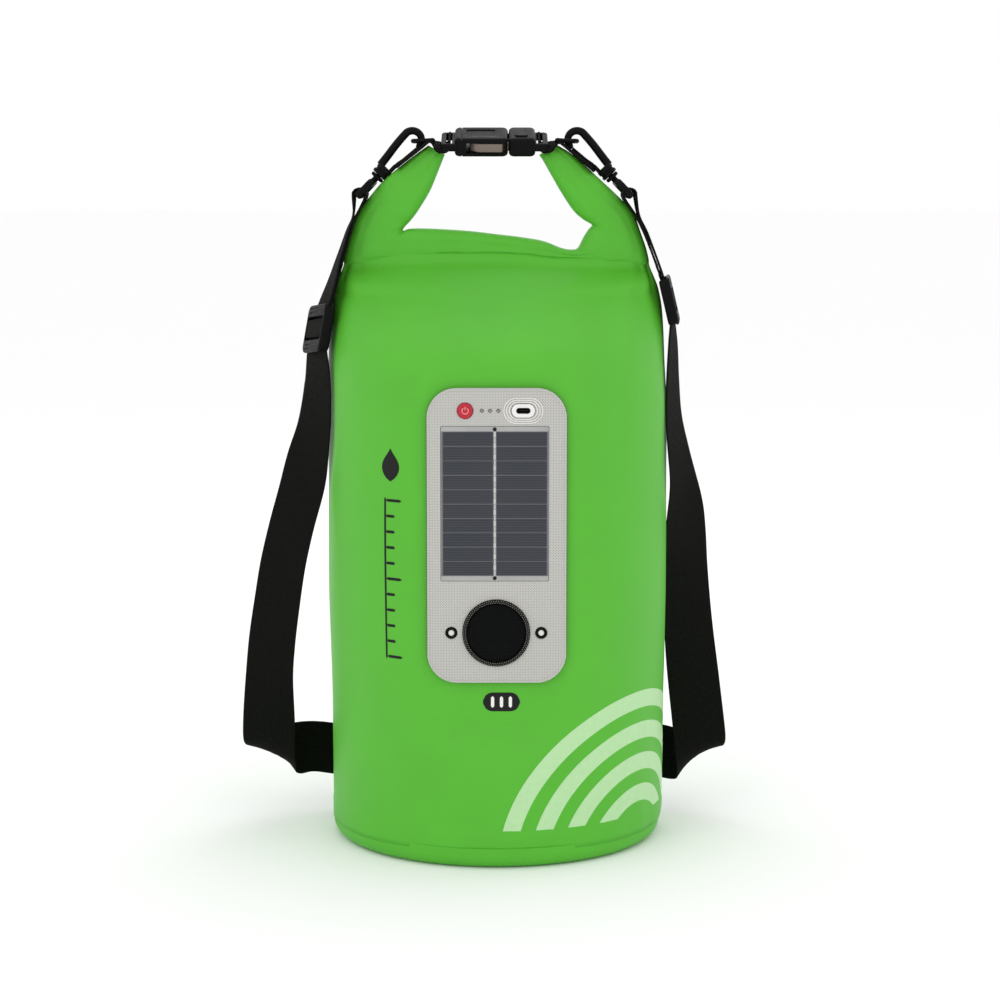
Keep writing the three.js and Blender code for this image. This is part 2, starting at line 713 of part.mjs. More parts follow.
function trayAndContents() {
  const { x, z } = MODULE;
  const front = PLATE.back + GAP;
  const { wall } = TRAY;
  const tray = cut(
    facingFront(roundedRect(TRAY.width, TRAY.height, TRAY.radius), front, TRAY.back, x, z),
    facingFront(
      roundedRect(TRAY.width - 2 * wall, TRAY.height - 2 * wall, TRAY.radius - wall),
      front - 1,
      TRAY.back - wall,
      x,
      z,
    ),
  );
  add("module_tray", tray, GREY_PLATE);

  const board = facingFront(roundedRect(74, 126, 3), BOARD.front, BOARD.front + 1.6, x, BOARD.z);
  add("circuit_board", board, CIRCUIT_GREEN);
  const pack = facingFront(roundedRect(60, 100, 4), BOARD.front + 3.4, TRAY.back - wall - GAP, x, BOARD.z - 8);
  add("battery_pack", pack, BATTERY_WRAP);

  const panel = facingFront(
    roundedRect(WINDOW.width, WINDOW.height, 0.8),
    PLATE.front + 0.1,
    PLATE.front + 1.1,
    WINDOW.x,
    WINDOW.z,
  );
  add("solar_panel", panel, DARK_CELL);
}
function controls() {
  const z = CONTROL_Z;
  const button = join(
    pin(BUTTON.radius, PLATE.front - 0.9, PLATE.back + 0.6, BUTTON.x, z),
    pin(BUTTON.flange, PLATE.back + GAP, PLATE.back + 1.1, BUTTON.x, z),
  );
  add("power_button", button, RED_BUTTON);
  const switchTop = PLATE.back + 1.1 + 1.1;
  const tact = facingFront(roundedRect(6, 6, 0.6), switchTop, BOARD.front - GAP, BUTTON.x, z);
  add("button_switch", tact, BLACK_PLASTIC);

  indicatorPositions().forEach((x, i) => {
    const pipe = pin(INDICATORS.radius, PLATE.front - 0.3, BOARD.front - GAP, x, z, 8);
    add(`indicator_${i + 1}`, pipe, CLEAR_LENS);
  });

  const bezel = cut(
    facingFront(roundedRect(15.6, 9.2, 4.5), PLATE.front - 0.9, PLATE.back, SOCKET.x, z),
    facingFront(roundedRect(9.7, 4, 1.95), PLATE.front - 2, PLATE.back + 1, SOCKET.x, z),
  );
  add("socket_bezel", bezel, WHITE_PLASTIC);
  const [front, back] = [PLATE.front - 0.5, BOARD.front - GAP];
  const shell = cut(
    facingFront(roundedRect(SOCKET.width, SOCKET.height, 1.55), front, back, SOCKET.x, z),
    facingFront(roundedRect(SOCKET.width - 0.7, SOCKET.height - 0.7, 1.2), front - 1, back - 1, SOCKET.x, z),
  );
  const tongue = box([SOCKET.x - 3.2, front + 1, z - 0.35], [SOCKET.x + 3.2, back - 0.5, z + 0.35]);
  add("usb_socket", join(shell, tongue), STEEL);
}

function speakerAndLamps() {
  const { z, radius } = SPEAKER;
  const face = PLATE.front - GAP;
  const ring = ringProfile(19.8, radius, face - 1.6, face);
  add("speaker_ring", turnedRing(ring, 0, z, 24), BLACK_PLASTIC);
  const dome = [[0, face - 1.4], [12, face - 1.2], [19.4, face - 0.6], [19.4, face + 0.2], [0, face + 0.2]];
  add("speaker_grille", turned(dome, 0, z, 24), SPEAKER_CLOTH);
  const driver = [
    [0, -92],
    [11, -92],
    [11, -98],
    [18.6, -104],
    [18.6, -110.2],
    [16.8, -110.2],
    [7, -104],
    [0, -104.6],
  ];
  add("speaker_driver", turned(driver, 0, z, 20), BLACK_PLASTIC);

  for (const [side, sign] of [["left", -1], ["right", 1]]) {
    const x = sign * LAMP.x;
    const bezel = ringProfile(2.5, LAMP.radius, PLATE.front - 0.8, PLATE.back);
    add(`lamp_bezel_${side}`, turnedRing(bezel, x, z, 14), BLACK_PLASTIC);
    const lens = [
      [0, -105],
      [2.1, -105],
      [2.1, PLATE.front - 0.2],
      [1.4, PLATE.front - 0.9],
      [0, PLATE.front - 1.1],
    ];
    add(`lamp_lens_${side}`, turned(lens, x, z, 10), CLEAR_LENS);
  }
}

function leads() {
  const runs = {
    battery_lead_positive: [[-33.5, -97, 255], [-34.5, -98, 262], [-34.4, -100, 268]],
    battery_lead_negative: [[33.8, -97, 255], [34.6, -98, 262], [34.6, -100, 268]],
    speaker_lead_positive: [[-20.5, -100, 172], [-24, -97, 180], [-27, -99, 186]],
    speaker_lead_negative: [[20.5, -100, 172], [24, -97, 180], [27, -99, 186]],
  };
  for (const [name, points] of Object.entries(runs)) {
    add(name, wire(points.map(([x, y, z]) => at(x, y, z)), 0.8, 5, false, 6), RUBBER);
  }
}

bag();
roll();
buckleParts();
for (const [side, barX] of [["left", -37], ["right", -34.1]]) {
  rollArm(side);
  rimWebbing(side, barX);
  dRing(side);
  snapHook(side);
  shoulderStrap(side);
  upperStrap(side);
  slider(side);
  anchorPatch(side);
}
faceplateAndSeals();
trayAndContents();
controls();
speakerAndLamps();
leads();

export default part;
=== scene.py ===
import json
import math

import bmesh
import bpy
import numpy as np
from mathutils import Matrix, Vector, noise

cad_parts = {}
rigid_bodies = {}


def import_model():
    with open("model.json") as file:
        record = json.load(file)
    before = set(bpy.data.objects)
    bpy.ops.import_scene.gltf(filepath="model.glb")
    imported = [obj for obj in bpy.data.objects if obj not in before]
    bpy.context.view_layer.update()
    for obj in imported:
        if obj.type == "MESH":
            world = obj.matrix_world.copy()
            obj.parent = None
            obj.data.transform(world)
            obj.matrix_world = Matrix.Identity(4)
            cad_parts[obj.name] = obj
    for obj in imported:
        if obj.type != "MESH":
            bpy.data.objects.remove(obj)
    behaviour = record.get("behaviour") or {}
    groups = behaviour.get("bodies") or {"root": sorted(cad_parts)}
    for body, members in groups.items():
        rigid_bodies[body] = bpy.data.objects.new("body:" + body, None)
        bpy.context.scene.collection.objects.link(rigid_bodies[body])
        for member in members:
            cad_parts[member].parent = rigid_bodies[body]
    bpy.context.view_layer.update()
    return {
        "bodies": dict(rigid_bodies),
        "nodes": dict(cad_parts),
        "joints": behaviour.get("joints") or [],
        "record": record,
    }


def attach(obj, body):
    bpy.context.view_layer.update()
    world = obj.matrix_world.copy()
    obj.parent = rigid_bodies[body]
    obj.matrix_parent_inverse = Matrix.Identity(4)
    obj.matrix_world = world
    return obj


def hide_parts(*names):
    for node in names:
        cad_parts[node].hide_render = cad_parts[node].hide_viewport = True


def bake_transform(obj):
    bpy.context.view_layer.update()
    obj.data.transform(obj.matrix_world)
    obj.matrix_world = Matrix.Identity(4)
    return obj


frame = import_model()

# A roll-top dry bag worn as a backpack, with a solar module in its front. Sizes are millimetres
# unless a name says metres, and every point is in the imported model's frame.
MM = 0.001
SIDES = {"left": -1, "right": 1}
scene = bpy.context.scene


# ---------------------------------------------------------------- numbers along curves
def steps_between(low, high, count):
    return [low + (high - low) * i / count for i in range(count + 1)]


def ease(low, high, value):
    share = np.clip((value - low) / (high - low), 0, 1)
    return share * share * (3 - 2 * share)


def hill(value, centre, width):
    return np.exp(-(((value - centre) / width) ** 2))


def smooth_rows(rows, column):
    """A smooth value along the first column of rows, with no overshoot between them."""
    xs = np.array([row[0] for row in rows], float)
    ys = np.array([row[column] for row in rows], float)
    spans, rises = np.diff(xs), np.diff(ys) / np.diff(xs)
    slopes = np.concatenate([rises[:1], np.zeros(len(xs) - 2), rises[-1:]])
    for i in range(1, len(xs) - 1):
        if rises[i - 1] * rises[i] > 0:
            slopes[i] = 2 / (1 / rises[i - 1] + 1 / rises[i])

    def value(x):
        k = int(np.clip(np.searchsorted(xs, x) - 1, 0, len(spans) - 1))
        t, h = float(np.clip((x - xs[k]) / spans[k], 0, 1)), spans[k]
        return (
            ys[k] * (1 + 2 * t) * (1 - t) ** 2
            + slopes[k] * h * t * (1 - t) ** 2
            + ys[k + 1] * t * t * (3 - 2 * t)
            + slopes[k + 1] * h * t * t * (t - 1)
        )

    return value


def spline(points, count, closed=False):
    """count + 1 points along a smooth curve through the points, or count when it is closed."""
    pts = np.array(points, float)
    if closed:
        padded = np.vstack([pts[-1:], pts, pts[:2]])
        spans, total = len(pts), count
    else:
        padded = np.vstack([2 * pts[0] - pts[1], pts, 2 * pts[-1] - pts[-2]])
        spans, total = len(pts) - 1, count + 1
    found = []
    for i in range(total):
        place = i / count * spans
        k = min(int(place), spans - 1)
        t = place - k
        a, b, c, d = padded[k : k + 4]
        bend = 2 * a - 5 * b + 4 * c - d + t * (3 * (b - c) + d - a)
        found.append(b + 0.5 * t * (c - a + t * bend))
    return np.array(found)


def unit(vectors):
    vectors = np.asarray(vectors, float)
    return vectors / np.linalg.norm(vectors, axis=-1, keepdims=True)


def run_along(path):
    """How far along the path each of its points lies."""
    return np.concatenate([[0], np.cumsum(np.linalg.norm(np.diff(path, axis=0), axis=1))])


def evened(path, rows):
    """The rows that go with a path's points, taken again at even steps along the path."""
    run = run_along(path)
    even = np.linspace(0, run[-1], len(path))
    return np.stack([np.interp(even, run, rows[:, axis]) for axis in range(3)], axis=1)


def rough(seed, *place):
    """Smooth noise from -1 to 1, the same on each run."""
    x, y, z = [*place, 0.0, 0.0][:3]
    return noise.noise(Vector((x + 17.3 * seed, y - 9.1 * seed, z + 4.7 * seed)))


# ---------------------------------------------------------------- meshes
def piece_from(name, points, faces, finish, body, replaces=(), lay=None, sharp=40):
    """A mesh of points in millimetres. lay gives each point's place on its cloth, in millimetres."""
    mesh = bpy.data.meshes.new(name)
    mesh.from_pydata((np.asarray(points, float) * MM).tolist(), [], faces)
    if lay is not None:
        layer = mesh.uv_layers.new(name="cloth")
        for loop in mesh.loops:
            layer.data[loop.index].uv = [value * MM for value in lay[loop.vertex_index]]
    return finished(name, mesh, finish, body, replaces, sharp)


def finished(name, mesh, finish, body, replaces=(), sharp=40):
    work = bmesh.new()
    work.from_mesh(mesh)
    bmesh.ops.remove_doubles(work, verts=work.verts, dist=1e-6)
    bmesh.ops.recalc_face_normals(work, faces=work.faces)
    limit = math.radians(sharp)
    for edge in work.edges:
        edge.smooth = len(edge.link_faces) != 2 or edge.calc_face_angle(0) < limit
    for face in work.faces:
        face.smooth = True
    work.to_mesh(mesh)
    work.free()
    made = bpy.data.objects.new(name, mesh)
    scene.collection.objects.link(made)
    mesh.materials.append(finish)
    if body:
        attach(made, body)
    if replaces:
        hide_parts(*replaces)
    return made


def grid_faces(rings, around, closed_round=True, closed_along=False):
    faces = []
    for r in range(rings if closed_along else rings - 1):
        low, high = r * around, ((r + 1) % rings) * around
        for i in range(around if closed_round else around - 1):
            j = (i + 1) % around
            faces.append((low + i, low + j, high + j, high + i))
    return faces


def loft_faces(rings, around, loop=False):
    faces = grid_faces(rings, around, True, loop)
    if not loop:
        last = (rings - 1) * around
        faces.append(tuple(reversed(range(around))))
        faces.append(tuple(range(last, last + around)))
    return faces


class Shape:
    """Points and faces gathered from several closed solids, in millimetres."""

    def __init__(self):
        self.points, self.faces = [], []

    def add(self, points, faces):
        start = len(self.points)
        self.points += [list(map(float, point)) for point in points]
        self.faces += [tuple(start + i for i in face) for face in faces]
        return self

    def join(self, *others):
        for other in others:
            self.add(other.points, other.faces)
        return self

    def place(self, matrix):
        self.points = [list(matrix @ Vector(point)) for point in self.points]
        return self

    def piece(self, name, finish, body, slot, replaces=(), sharp=40):
        return piece_from(name, self.points, self.faces, finish, body, replaces, None, sharp)


def rounded_rect(width, height, radius, x=0, z=0, arc=8):
    points = []
    for turn, (sx, sz) in enumerate([(1, 1), (-1, 1), (-1, -1), (1, -1)]):
        cx, cz = x + sx * (width / 2 - radius), z + sz * (height / 2 - radius)
        for step in steps_between(0, math.pi / 2, arc):
            angle = step + turn * math.pi / 2
            points.append((cx + radius * math.cos(angle), cz + radius * math.sin(angle)))
    return points


def circle(radius, x=0, z=0, count=32):
    turns = [2 * math.pi * i / count for i in range(count)]
    return [(x + radius * math.cos(turn), z + radius * math.sin(turn)) for turn in turns]


def slab(outlines, low, high, bevel, steps=2):
    """A plate in the XY plane from z = low to high. The first outline is its edge, the rest are holes."""
    curve = bpy.data.curves.new("slab", "CURVE")
    curve.dimensions, curve.fill_mode = "2D", "BOTH"
    curve.extrude, curve.bevel_depth = (high - low) / 2 - bevel, bevel
    curve.offset, curve.bevel_resolution = -bevel, steps
    for outline in outlines:
        line = curve.splines.new("POLY")
        line.points.add(len(outline) - 1)
        for point, (x, y) in zip(line.points, outline):
            point.co = (x, y, 0, 1)
        line.use_cyclic_u = True
    holder = bpy.data.objects.new("slab", curve)
    mesh = bpy.data.meshes.new_from_object(holder)
    bpy.data.objects.remove(holder)
    middle = (low + high) / 2
    points = [(v.co.x, v.co.y, v.co.z + middle) for v in mesh.vertices]
    faces = [tuple(face.vertices) for face in mesh.polygons]
    bpy.data.meshes.remove(mesh)
    return Shape().add(points, faces)


# Turns a slab's XY plane to the front: x stays, y becomes Z, and its top faces -Y.
TO_FRONT = Matrix(((1, 0, 0), (0, 0, -1), (0, 1, 0))).to_4x4()


def front_slab(outlines, front, back, bevel, steps=2):
    return slab(outlines, -back, -front, bevel, steps).place(TO_FRONT)


def lathe(profile, sides=48, closed=False):
    """Turned about Z from (radius, z) pairs. The ends lie on the axis unless it is closed."""
    points, faces = [], []
    for radius, z in profile:
        for i in range(sides):
            turn = 2 * math.pi * i / sides
            points.append((radius * math.cos(turn), radius * math.sin(turn), z))
    faces = grid_faces(len(profile), sides, True, closed)
    return Shape().add(points, faces)


def front_lathe(profile, x, z, sides=48, closed=False):
    """Turned about the front direction, from (radius, y) pairs."""
    flipped = [(radius, -y) for radius, y in profile]
    return lathe(flipped, sides, closed).place(Matrix.Translation((x, 0, z)) @ TO_FRONT)


def tube(points, radius, steps, sides=14, closed=False, flat=1.0):
    """A wire through the points. radius may be a function of the share along it."""
    path = spline(points, steps, closed)
    if closed:
        along = unit(np.roll(path, -1, 0) - np.roll(path, 1, 0))
    else:
        along = unit(np.gradient(path, axis=0))
    size = radius if callable(radius) else (lambda share: radius)
    normal = np.cross(along[0], (0.0, 0.3, 1.0) if abs(along[0][2]) < 0.9 else (0.0, 1.0, 0.0))
    rings = []
    for i, centre in enumerate(path):
        normal = unit(normal - along[i] * np.dot(normal, along[i]))
        side = np.cross(along[i], normal)
        r = size(i / steps)
        for k in range(sides):
            turn = 2 * math.pi * k / sides
            rings.append(centre + r * (math.cos(turn) * normal + flat * math.sin(turn) * side))
    return Shape().add(rings, loft_faces(len(path), sides, closed))


class Ribbon:
    """Flat webbing along a smooth path. Each station is (centre, width direction)."""

    def __init__(self, stations, width, thick, steps, soft_below=None):
        self.width, self.thick = width, thick
        centres = spline([s[0] for s in stations], steps)
        sides = spline([s[1] for s in stations], steps)
        self.centres, sides = evened(centres, centres), evened(centres, sides)
        if soft_below is not None:
            # Below this height the webbing hangs free, so its bends are softened.
            loose = np.flatnonzero(self.centres[1:-1, 2] < soft_below) + 1
            for rows in [self.centres, sides] * 12:
                rows[loose] = (rows[loose - 1] + 2 * rows[loose] + rows[loose + 1]) / 4
        along = unit(np.gradient(self.centres, axis=0))
        self.normals = unit(np.cross(along, sides))
        self.across = unit(np.cross(self.normals, along))
        self.run = run_along(self.centres)

    def section(self):
        """(across, out) pairs round the webbing, with rounded edges and slightly thicker borders."""
        half, thin = self.width / 2, self.thick / 2
        top = []
        for share in steps_between(-1, 1, 12):
            border = 0.12 * math.cos(share * math.pi * 5)
            top.append((share * (half - thin), thin * (0.9 + border)))
        edge = [
            (half - thin + thin * math.cos(turn), thin * math.sin(turn))
            for turn in steps_between(math.pi / 3, -math.pi / 3, 2)
        ]
        half_round = top + edge
        return half_round + [(-a, -n) for a, n in half_round]

    def shape(self):
        section = self.section()
        points, lay = [], []
        for centre, across, normal, run in zip(self.centres, self.across, self.normals, self.run):
            for a, n in section:
                points.append(centre + a * across + n * normal)
                lay.append((a, run))
        return points, loft_faces(len(self.centres), len(section)), lay

    def piece(self, name, finish, body, slot, replaces=()):
        points, faces, lay = self.shape()
        return piece_from(name, points, faces, finish, body, replaces, lay, 60)

    def spot(self, a, run, out):
        """The point a across and run along, lifted by out above the face, with the two directions."""
        k = int(np.clip(np.searchsorted(self.run, run) - 1, 0, len(self.run) - 2))
        t = (run - self.run[k]) / (self.run[k + 1] - self.run[k])
        mix = lambda rows: rows[k] + t * (rows[k + 1] - rows[k])
        normal, across = unit(mix(self.normals)), unit(mix(self.across))
        return mix(self.centres) + a * across + out * normal, normal, across


# ---------------------------------------------------------------- finishes
def colour(red, green, blue):
    """A screen colour, 0 to 255, as the linear one that a shader takes."""
    shares = [value / 255 for value in (red, green, blue)]
    return tuple(s / 12.92 if s <= 0.04045 else ((s + 0.055) / 1.055) ** 2.4 for s in shares)


class Finish:
    """A material and short ways to add its nodes. Sizes of patterns are in metres."""

    def __init__(self, name, base, roughness, **fixed):
        self.material = bpy.data.materials.new(name)
        self.material.use_nodes = True
        self.tree = self.material.node_tree
        self.surface = self.tree.nodes["Principled BSDF"]
        self.base, self.roughness = base, roughness
        values = {key.replace("_", " "): value for key, value in fixed.items()}
        self.put(self.surface, {"Base Color": (*base, 1), "Roughness": roughness, **values})

    def put(self, made, values):
        for key, value in values.items():
            if isinstance(value, bpy.types.NodeSocket):
                self.tree.links.new(value, made.inputs[key])
            else:
                made.inputs[key].default_value = value

    def node(self, kind, values=(), **settings):
        made = self.tree.nodes.new("ShaderNode" + kind)
        for key, value in settings.items():
            setattr(made, key, value)
        self.put(made, dict(values))
        return made

    def place(self, on_cloth=False, turn=0.0, stretch=(1, 1, 1)):
        """Coordinates in metres: the cloth's own if it has them, and the frame's if not."""
        if on_cloth:
            source = self.node("UVMap", uv_map="cloth").outputs["UV"]
        else:
            source = self.node("TexCoord").outputs["Object"]
        axis = (0, 0, turn) if on_cloth else (0, turn, 0)
        values = {"Vector": source, "Rotation": axis, "Scale": stretch}
        return self.node("Mapping", values).outputs["Vector"]

    def front_place(self):
        """Coordinates in metres on the object's front: X as it is, and Z as Y."""
        whole = self.node("SeparateXYZ", {"Vector": self.node("TexCoord").outputs["Object"]})
        values = {"X": whole.outputs["X"], "Y": whole.outputs["Z"]}
        return self.node("CombineXYZ", values).outputs["Vector"]

    def noise(self, place, size, detail=3):
        values = {"Vector": place, "Scale": 1 / size, "Detail": detail, "Roughness": 0.5}
        return self.node("TexNoise", values).outputs["Fac"]

    def cells(self, place, length, height, gap, soft=1.0, shift=0.5):
        """1 between bricks of length by height, and 0 on them."""
        values = {
            "Vector": place,
            "Scale": 1.0,
            "Mortar Size": gap,
            "Mortar Smooth": soft,
            "Brick Width": length,
            "Row Height": height,
        }
        return self.node("TexBrick", values, offset=shift).outputs["Fac"]

    def between(self, share, low, high, start=0.0, end=1.0):
        values = {"Value": share, "From Min": start, "From Max": end, "To Min": low, "To Max": high}
        return self.node("MapRange", values).outputs["Result"]

    def blend(self, share, first, second):
        made = self.node("Mix", data_type="RGBA")
        for socket, value in ((0, share), (6, (*first, 1)), (7, (*second, 1))):
            if isinstance(value, bpy.types.NodeSocket):
                self.tree.links.new(value, made.inputs[socket])
            else:
                made.inputs[socket].default_value = value
        return made.outputs[2]

    def tint(self, share, darker, lighter):
        """The base colour, from darker times itself to lighter times itself."""
        first = [min(1, c * darker) for c in self.base]
        second = [min(1, c * lighter) for c in self.base]
        self.put(self.surface, {"Base Color": self.blend(share, first, second)})

    def wear(self, share, less, more):
        self.put(self.surface, {"Roughness": self.between(share, less, more)})

    def raise_by(self, *layers):
        """Bumps on bumps. Each layer is (height, depth in metres)."""
        normal = None
        for height, depth in layers:
            values = {"Height": height, "Distance": depth, "Strength": 1.0}
            if normal is not None:
                values["Normal"] = normal
            normal = self.node("Bump", values).outputs["Normal"]
        self.put(self.surface, {"Normal": normal})


def tarpaulin(name, base, roughness):
    """Coated cloth: a faint square scrim under a smooth film, with cloudy wear."""
    film = {"Coat_Weight": 0.08, "Coat_Roughness": 0.35, "Specular_IOR_Level": 0.25}
    made = Finish(name, base, roughness, **film)
    cloth = made.place(on_cloth=True)
    scrim = made.cells(cloth, 0.0011, 0.0011, 0.00035, shift=0.0)
    cloud = made.noise(cloth, 0.045, 4)
    grain = made.noise(cloth, 0.0006, 2)
    made.tint(cloud, 0.93, 1.06)
    made.wear(cloud, roughness - 0.07, roughness + 0.08)
    made.raise_by((scrim, 0.00003), (grain, 0.00003), (made.noise(cloth, 0.012, 3), 0.00018))
    return made.material


def webbing(name, base):
    """Woven polyester: rows of short ribs that step from one to the next, with fuzz."""
    made = Finish(name, base, 0.85, Specular_IOR_Level=0.08)
    cloth = made.place(on_cloth=True, turn=math.pi / 2)
    ribs = made.cells(cloth, 0.0034, 0.00115, 0.00045)
    yarn = made.cells(made.place(on_cloth=True), 0.0006, 0.0034, 0.0002)
    fuzz = made.noise(made.place(on_cloth=True, stretch=(1, 3, 1)), 0.0005, 2)
    made.tint(made.between(ribs, 1.0, 0.0), 0.55, 1.7)
    made.wear(fuzz, 0.7, 0.95)
    made.raise_by((made.between(ribs, 1.0, 0.0), 0.0004), (yarn, 0.00006), (fuzz, 0.00008))
    return made.material


def moulded(name, base, roughness, **fixed):
    """Moulded plastic: a fine spark grain, slow changes of gloss and paler worn places."""
    made = Finish(name, base, roughness, **fixed)
    place = made.place()
    slow = made.noise(place, 0.02, 4)
    made.tint(slow, 0.8, 1.25)
    made.wear(made.noise(place, 0.006, 3), roughness - 0.08, roughness + 0.12)
    made.raise_by((made.noise(place, 0.0012, 2), 0.00003), (slow, 0.0001))
    return made.material


def woven_look_plate():
    """Light grey film printed with a fine diagonal weave under a satin lacquer."""
    base = colour(190, 189, 184)
    lacquer = {"Coat_Weight": 0.15, "Coat_Roughness": 0.25, "Specular_IOR_Level": 0.3}
    made = Finish("plate_film", base, 0.42, **lacquer)
    flat = made.front_place()
    turned = made.node("Mapping", {"Vector": flat, "Rotation": (0, 0, math.radians(45))})
    weave = made.cells(turned.outputs["Vector"], 0.0026, 0.0013, 0.00042, soft=0.7)
    cloud = made.noise(flat, 0.02, 3)
    light = made.blend(weave, [c * 1.08 for c in base], [c * 0.74 for c in base])
    made.put(made.surface, {"Base Color": light})
    made.wear(cloud, 0.36, 0.52)
    made.raise_by((made.between(weave, 1.0, 0.0), 0.00005), (made.noise(flat, 0.0008, 2), 0.00001))
    return made.material


def brushed(name, base, roughness):
    made = Finish(name, base, roughness, Metallic=1.0)
    lines = made.noise(made.place(stretch=(1, 1, 18)), 0.002, 3)
    made.tint(lines, 0.8, 1.15)
    made.wear(lines, roughness - 0.08, roughness + 0.15)
    made.raise_by((lines, 0.00002))
    return made.material


def cell_silicon():
    """Dark cells with fine pale fingers, under a glossy laminate."""
    base = colour(44, 47, 53)
    laminate = {"Coat_Weight": 0.2, "Coat_Roughness": 0.12, "Specular_IOR_Level": 0.2}
    made = Finish("cell_silicon", base, 0.3, **laminate)
    place = made.place()
    fingers = made.node("TexWave", {"Vector": place, "Scale": 1 / 0.0036}, bands_direction="Z")
    tone = made.blend(made.noise(place, 0.03, 3), colour(38, 44, 52), colour(50, 50, 56))
    line = made.between(fingers.outputs["Fac"], 0.0, 0.55, 0.86, 1.0)
    mixed = made.node("Mix", data_type="RGBA")
    made.tree.links.new(line, mixed.inputs[0])
    made.tree.links.new(tone, mixed.inputs[6])
    mixed.inputs[7].default_value = (*colour(96, 99, 104), 1)
    made.put(made.surface, {"Base Color": mixed.outputs[2]})
    made.wear(made.noise(place, 0.01, 2), 0.24, 0.36)
    made.raise_by((made.noise(place, 0.018, 2), 0.00012))
    return made.material


def speaker_net():
    made = Finish("speaker_net", colour(11, 12, 12), 0.85, Specular_IOR_Level=0.08)
    flat = made.front_place()
    values = {"Vector": flat, "Scale": 1 / 0.00095, "Randomness": 0.0}
    holes = made.node("TexVoronoi", values).outputs["Distance"]
    net = made.between(holes, 0.0, 1.0, 0.22, 0.5)
    made.tint(net, 0.35, 1.7)
    made.wear(net, 0.9, 0.7)
    made.raise_by((net, 0.0003))
    return made.material


def printed(name, base, roughness=0.5):
    """Screen-printed ink with slightly uneven cover."""
    made = Finish(name, base, roughness, Specular_IOR_Level=0.25)
    cover = made.noise(made.place(), 0.004, 4)
    made.tint(cover, 0.93, 1.05)
    made.wear(cover, roughness - 0.08, roughness + 0.1)
    made.raise_by((made.noise(made.place(), 0.0009, 2), 0.00003))
    return made.material


def lamp_glass(name, base, glow):
    glowing = {"Emission_Color": (*base, 1), "Emission_Strength": glow}
    made = Finish(name, base, 0.15, Coat_Weight=0.6, **glowing)
    facets = made.noise(made.place(), 0.0012, 2)
    made.tint(facets, 0.75, 1.1)
    made.raise_by((facets, 0.0001))
    return made.material


def thread(name, base):
    made = Finish(name, base, 0.75, Specular_IOR_Level=0.15)
    twist = made.noise(made.place(stretch=(1, 1, 2)), 0.0004, 2)
    made.tint(twist, 0.6, 1.4)
    made.raise_by((twist, 0.0001))
    return made.material


GREEN = tarpaulin("green_tarpaulin", colour(84, 178, 46), 0.5)
WEB = webbing("black_webbing", colour(16, 17, 14))
BLACK = moulded("black_acetal", colour(10, 10, 10), 0.46, IOR=1.28, Specular_IOR_Level=0.22)
PLATE_FILM = woven_look_plate()
GREY = moulded("grey_moulding", colour(176, 178, 172), 0.5)
SEAL = moulded("seal_rubber", colour(26, 26, 26), 0.8, Specular_IOR_Level=0.2)
CELL = cell_silicon()
CELL_BACK = moulded("laminate_back", colour(158, 158, 156), 0.4, Coat_Weight=0.4)
CELL_EDGE = moulded("laminate_edge", colour(98, 98, 102), 0.35, Coat_Weight=0.2)
SILVER = brushed("tinned_ribbon", colour(196, 197, 195), 0.32)
STEEL = brushed("plated_steel", colour(165, 165, 163), 0.3)
# The speaker rim's knurl beads are black plastic, painted a light grey as painted highlights on the
# knurls.
RIM_GLINT_GREY = moulded("speaker_rim_painted_glints", colour(104, 102, 96), 0.5)
PALE_RING = moulded("socket_ring", colour(216, 214, 210), 0.4)
RED = moulded("red_cap", colour(178, 34, 52), 0.34, Specular_IOR_Level=0.3)
PALE_RED = printed("pale_red_ink", colour(240, 160, 160), 0.4)
WHITE = moulded("white_bezel", colour(226, 223, 222), 0.35, Coat_Weight=0.3)
NET = speaker_net()
LENS = lamp_glass("lamp_lens", colour(226, 225, 216), 0.0)
DOT = moulded("indicator_lens", colour(120, 120, 118), 0.25, Coat_Weight=0.5)
BOARD = moulded("solder_mask", colour(26, 88, 50), 0.4, Coat_Weight=0.3)
WRAP = moulded("battery_wrap", colour(44, 79, 140), 0.35, Coat_Weight=0.3)
LEAD = moulded("lead_insulation", colour(26, 26, 26), 0.5)
BLACK_INK = printed("black_ink", colour(12, 12, 12), 0.5)
PALE_INK = printed("pale_green_ink", colour(180, 220, 166), 0.5)
WHITE_INK = printed("white_ink", colour(232, 234, 228), 0.5)
THREAD = thread("black_thread", colour(26, 27, 24))
# A brownish grey that only the front buckle prong is painted with; the back prong is black.
PRONG_FRONT_BROWN = moulded("front_prong_brown_grey", colour(104, 88, 78), 0.25, Coat_Weight=0.5)


# ---------------------------------------------------------------- bag
# Height, half width and half depth of the bag's outside.
SHELL = [
    (10, 117.2, 117.2),
    (65, 118, 118),
    (100, 118.5, 118.5),
    (200, 119.5, 119.3),
    (300, 119.2, 119.2),
    (330, 118.9, 117.4),
    (345, 118.5, 110),
    (360, 118, 94),
    (375, 117, 70),
    (388, 114.6, 46),
    (398, 110.6, 24),
    (404, 108, 13),
    (410, 106.4, 10.4),
]
BASE = {"radius": 117, "corner": 10, "rim": 14.5}
FLAT_FRONT = 108.2
WALL = 1.2
SEAM_SECTION = [(-11, 0.05), (-10.2, 0.75), (0, 0.8), (10.2, 0.75), (11, 0.05), (0, -0.4)]
half_width, half_depth = smooth_rows(SHELL, 1), smooth_rows(SHELL, 2)


# Folds that run down from the gathered mouth: degrees from the front, depth and width.
TOP_FOLDS = [
    (-104, 2.4, 6),
    (-88, 0.9, 4),
    (-70, 1.5, 6),
    (-49, 0.8, 5),
    (-22, 0.45, 6),
    (12, 0.35, 7),
    (37, 0.7, 5),
    (58, 1.1, 5),
    (73, 1.6, 5),
    (91, 0.9, 4),
    (108, 2.4, 6),
    (134, 1.2, 7),
    (163, 0.7, 8),
    (-165, 0.8, 7),
    (-138, 1.1, 7),
]


